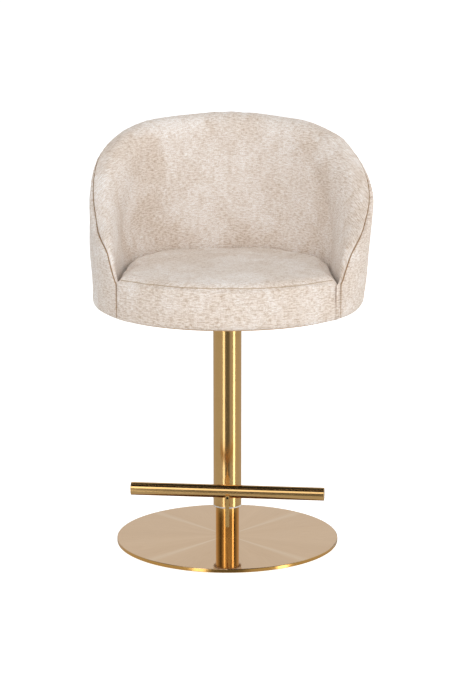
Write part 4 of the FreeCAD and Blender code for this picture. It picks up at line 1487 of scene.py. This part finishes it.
@dataclass
class Welds:
    """Weld beads where the footrest arm and the seat plate meet the outer tube."""

    bead: float = 0.0015
    arm_half: float = 0.004
    arm_bead_top: float = 0.1445
    ring_bead: float = 0.0021
    ring_gap: float = 0.0003
    ring_drop: float = 0.0004
    steps: int = 44

    def arm_beads(self) -> list[Object]:
        """Make a bead up each side of the arm's plate."""
        arm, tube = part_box("footrest_arm"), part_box("outer_tube")
        tube_r = (tube[1].x - tube[0].x) / 2
        low, high = arm[0].z + 0.0015, self.arm_bead_top
        made = []
        for side, label in ((-1, "left"), (1, "right")):
            deselect()
            x = side * (self.arm_half + 0.0004)
            bpy.ops.mesh.primitive_cylinder_add(
                vertices=12, radius=self.bead, depth=high - low,
                location=(x, -math.sqrt(tube_r**2 - x**2) - 0.0002, (low + high) / 2))
            obj = bpy.context.object
            obj.name = obj.data.name = "arm_weld_" + label
            freeze(obj)
            edit(obj, "EDGE")
            pick(obj, "edges", lambda e: abs(e.verts[0].co.z - e.verts[1].co.z) > 0.01)
            bpy.ops.mesh.subdivide(number_cuts=self.steps)
            close_edit()
            co = corners(obj)
            centre = np.array([x, -math.sqrt(tube_r**2 - x**2)])
            ridge = 1 + 0.14 * np.abs(np.sin((co[:, 2] - low) * 1150))
            ends = 1 - 0.75 * (
                1 - smoothstep(0, 0.002, np.minimum(co[:, 2] - low, high - co[:, 2]))
            )
            co[:, :2] = centre + (co[:, :2] - centre) * (ridge * ends)[:, None]
            set_corners(obj, co)
            outward(obj)
            smooth(obj, 50)
            made.append(obj)
        return made

    def plate_bead(self) -> Object:
        """Make the bead round the tube's top, under the seat plate."""
        plate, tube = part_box("seat_plate"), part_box("outer_tube")
        ring_r = (tube[1].x - tube[0].x) / 2 + self.ring_gap
        level = plate[0].z - self.ring_drop
        deselect()
        bpy.ops.mesh.primitive_torus_add(
            major_radius=ring_r, minor_radius=self.ring_bead, major_segments=180, minor_segments=12,
            location=(0, 0, level))
        obj = bpy.context.object
        obj.name = obj.data.name = "plate_weld"
        freeze(obj)
        co = corners(obj)
        angle = np.arctan2(co[:, 1], co[:, 0])
        swell = 1 + 0.12 * np.abs(np.sin(angle * 46)) + 0.05 * np.sin(angle * 7 + 1)
        flat = np.full(len(co), level)
        centre = np.stack([ring_r * np.cos(angle), ring_r * np.sin(angle), flat], -1)
        co = centre + (co - centre) * swell[:, None]
        co[:, 2] = np.minimum(co[:, 2], plate[0].z + 0.001)
        set_corners(obj, co)
        outward(obj)
        smooth(obj, 60)
        return obj

    def build(self) -> None:
        """Make and dress every bead."""
        for obj in self.arm_beads():
            ride(obj, MATERIALS["gold_arm"])
        ride(self.plate_bead(), MATERIALS["black"])


@dataclass
class Underseat:
    """Dust cloth stapled under the seat board."""

    gap: float = 0.003
    thickness: float = 0.0007
    sag: float = 0.0016
    staples: int = 34
    staple_length: float = 0.0105
    staple_wire: float = 0.0008
    staple_inset: float = 0.008
    rings: int = 21

    def cloth(self) -> Object:
        """Make the dust cloth: tight at the plate and at the staples, slack between."""
        low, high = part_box("dust_cover")
        radius = (high.x - low.x) / 2 - self.gap
        deselect()
        bpy.ops.mesh.primitive_circle_add(
            vertices=136, radius=radius, fill_type="NGON", location=(0, 0, high.z - 0.0001)
        )
        obj = bpy.context.object
        obj.name = obj.data.name = "dust_cloth"
        freeze(obj)
        edit(obj)
        bpy.ops.mesh.select_all(action="SELECT")
        for _ in range(self.rings - 1):
            bpy.ops.mesh.inset(thickness=radius / self.rings, depth=0)
        close_edit()
        co = corners(obj)
        r = np.hypot(co[:, 0], co[:, 1])
        square = np.maximum(np.abs(co[:, 0]), np.abs(co[:, 1]))
        angle = np.arctan2(co[:, 1], co[:, 0])
        slack = smoothstep(0.104, 0.150, square) * smoothstep(0.0, 0.030, radius - r)
        pull = 0.5 + 0.5 * np.cos(angle * self.staples)
        rim = ridge(radius - r, self.staple_inset, 0.008) * (1 - pull) * 0.0006
        wave = ripple(co, ((9, 5, 0, 0.4, 0.0004), (-6, 11, 0, 2.0, 0.0003)))
        co[:, 2] -= slack * (self.sag + wave) + rim
        set_corners(obj, co)
        outward(obj)
        modifier(obj, "SOLIDIFY", thickness=self.thickness, offset=0.0)
        outward(obj)
        smooth(obj, 60)
        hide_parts("dust_cover")
        self.ring = radius - self.staple_inset
        return obj

    def staple_ring(self) -> Object:
        """Make one staple's crown, copy it round the cloth's edge and join the copies."""
        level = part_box("dust_cover")[1].z - 0.0012
        deselect()
        wire = self.staple_wire
        bpy.ops.mesh.primitive_cube_add(size=1, scale=(wire, self.staple_length, wire))
        one = bpy.context.object
        freeze(one)
        edit(one)
        pick(one, "faces", lambda f: abs(f.normal.y) > 0.9)
        bpy.ops.mesh.inset(thickness=0.0001)
        bpy.ops.mesh.extrude_region_move(TRANSFORM_OT_translate={"value": (0, 0, 0)})
        bpy.ops.transform.translate(value=(0, 0, 0.0006))
        close_edit()
        modifier(one, "BEVEL", width=0.00015, segments=2, limit_method="ANGLE")
        base = corners(one)
        copies = []
        for n in range(self.staples):
            turn = TAU * n / self.staples
            spot = one.copy()
            spot.data = one.data.copy()
            bpy.context.scene.collection.objects.link(spot)
            skew = turn + 0.10 * math.sin(n * 2.4)
            c, s = math.cos(skew), math.sin(skew)
            co = base @ np.array([[c, s, 0], [-s, c, 0], [0, 0, 1]])
            place = (self.ring * math.cos(turn), self.ring * math.sin(turn), level)
            set_corners(spot, co + np.array(place))
            copies.append(spot)
        bpy.data.objects.remove(one)
        deselect()
        for spot in copies:
            spot.select_set(True)
        bpy.context.view_layer.objects.active = copies[0]
        bpy.ops.object.join()
        obj = bpy.context.object
        obj.name = obj.data.name = "staples"
        outward(obj, 1e-7)
        return obj

    def build(self) -> None:
        """Make and dress the cloth and its staples."""
        ride(self.cloth(), MATERIALS["felt"])
        ride(self.staple_ring(), MATERIALS["zinc"])


# ---------------------------------------------------------------- studio


@dataclass
class Softbox:
    """One rectangular light, aimed at a point."""

    name: str
    azimuth: float
    distance: float
    height: float
    size: tuple[float, float]
    power: float
    aim: Point = (0.0, 0.0, 0.55)
    mirrored: bool = True

    def build(self) -> None:
        """Make the light."""
        data = bpy.data.lights.new(self.name, "AREA")
        data.shape, data.size, data.size_y, data.energy = "RECTANGLE", *self.size, self.power
        lamp = bpy.data.objects.new(self.name, data)
        a = math.radians(self.azimuth)
        lamp.location = (self.distance * math.sin(a), -self.distance * math.cos(a), self.height)
        lamp.rotation_euler = (Vector(self.aim) - lamp.location).to_track_quat("-Z", "Y").to_euler()
        lamp.visible_glossy = self.mirrored
        lamp.visible_camera = False
        bpy.context.scene.collection.objects.link(lamp)


@dataclass
class Studio:
    """Pale floor, pale surroundings, soft lights and the camera."""

    camera_place: Point = (0.0056, -4.5, 1.392)
    camera_down: float = 12.11
    lens: float = 114.0
    sensor: float = 36.0
    fill: float = 0.60
    sky: float = 1.05
    floor_glow: tuple[float, float] = (0.08, 0.72)
    lights: tuple[Softbox, ...] = (
        Softbox("left_strip", -28, 2.7, 0.55, (0.62, 4.2), 13),
        Softbox("right_strip", 57, 2.7, 0.55, (0.60, 4.2), 21),
        Softbox("overhead", 10, 1.2, 2.9, (2.4, 2.0), 8, mirrored=False),
        Softbox("front_fill", 0, 3.6, 1.7, (2.6, 1.6), 32, mirrored=False),
        Softbox("right_fill", 100, 3.0, 1.1, (1.6, 1.6), 16, mirrored=False),
    )

    def world(self) -> None:
        """Pale surroundings: white behind, and a plain room in reflections."""
        world = bpy.data.worlds.new("studio")
        bpy.context.scene.world = world
        world.use_nodes = True
        world.node_tree.nodes.clear()
        world.cycles.sampling_method = "NONE"
        g = Graph(world.node_tree)
        x, y, z = g.split(g.node("TexCoord").outputs["Generated"])
        azimuth = g.math("ABSOLUTE", g.math("ARCTAN2", x, g.times(y, -1.0)))
        level = g.math("ARCSINE", z)

        def ramp(
            value: object, start: float, end: float, low: float = 0.0, high: float = 1.0
        ) -> object:
            """Value between two angles in degrees."""
            return g.fit(value, math.radians(start), math.radians(end), low, high)

        behind = ramp(azimuth, 75, 130)
        card = g.times(g.times(ramp(level, 17, 21), ramp(level, 52, 46)), ramp(azimuth, 62, 48))
        upper = g.times(g.plus(0.10, g.times(behind, 0.58)), ramp(level, 62, 40, 0.12, 1.0))
        upper = g.plus(upper, g.times(card, 1.15))
        under = ramp(azimuth, 14, 26, 0.78, 0.0)
        under = g.times(under, g.times(ramp(level, -26, -22), ramp(level, -5, -8)))
        under = g.times(0.46, g.math("SUBTRACT", 1.0, under))
        room = g.plus(g.times(upper, ramp(level, 3, 5)), g.times(under, ramp(level, -1, -3)))
        way = g.node("LightPath")
        mirror, plain, sky = g.node("Background"), g.node("Background"), g.node("Background")
        g.wire(mirror, Strength=room, Color=(1.0, 0.985, 0.96, 1.0))
        g.wire(plain, Strength=self.fill, Color=(1.0, 0.998, 0.995, 1.0))
        g.wire(sky, Strength=self.sky, Color=(1.0, 1.0, 1.0, 1.0))
        a, b, out = g.node("MixShader"), g.node("MixShader"), g.node("OutputWorld")
        for mixer, share, first, second in (
            (a, "Is Glossy Ray", plain, mirror), (b, "Is Camera Ray", a, sky)
        ):
            g.feed(mixer.inputs[0], way.outputs[share])
            g.feed(mixer.inputs[1], first.outputs[0])
            g.feed(mixer.inputs[2], second.outputs[0])
        g.feed(out.inputs["Surface"], b.outputs[0])

    def floor(self) -> None:
        """Make the plain pale floor."""
        deselect()
        bpy.ops.mesh.primitive_plane_add(size=30, location=(0, 0, -0.0002))
        floor = bpy.context.object
        floor.name = "floor"
        made, g, shader = start_material("pale_floor")
        shade = g.fit(g.noise(place(g), 3.0, 3), 0.3, 0.7)
        seen = g.node("LightPath").outputs["Is Camera Ray"]
        g.wire(
            shader,
            Base_Color=g.mix(shade, (0.90, 0.90, 0.90, 1), (0.88, 0.88, 0.88, 1)),
            Roughness=0.9,
            Specular_IOR_Level=0.1,
            Emission_Color=(1, 1, 1, 1),
            Emission_Strength=g.fit(seen, 0, 1, *self.floor_glow),
        )
        floor.data.materials.append(made)
        floor.visible_glossy = False

    def camera(self) -> None:
        """Set up the camera."""
        data = bpy.data.cameras.new("camera")
        data.lens, data.sensor_width = self.lens, self.sensor
        data.clip_end = 60
        camera = bpy.data.objects.new("camera", data)
        camera.location = self.camera_place
        camera.rotation_euler = (math.radians(90 - self.camera_down), 0, 0)
        bpy.context.scene.collection.objects.link(camera)
        bpy.context.scene.camera = camera

    def build(self) -> None:
        """Make the whole studio."""
        self.world()
        self.floor()
        self.camera()
        for light in self.lights:
            light.build()
        bpy.context.scene.view_settings.view_transform = "Standard"


# ---------------------------------------------------------------- the stool

MATERIALS = {key: finish.build() for key, finish in FINISHES.items()}


def dress_cad_nodes() -> None:
    """Give every CAD node its finish."""
    for name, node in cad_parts.items():
        node.data.materials.clear()
        node.data.materials.append(MATERIALS[NODE_FINISH[name]])
        log.info("%s: %s", name, NODE_FINISH[name])


def main() -> None:
    """Build the stool and its studio."""
    logging.basicConfig(level=logging.INFO, format="%(name)s: %(message)s")
    dress_cad_nodes()
    tub, cushion = Tub(), Cushion()
    tub.build()
    tub.dress()
    cushion.build()
    cushion.dress()
    Welds().build()
    Underseat().build()
    Studio().build()
    deselect()


if __name__ == "__main__":
    main()
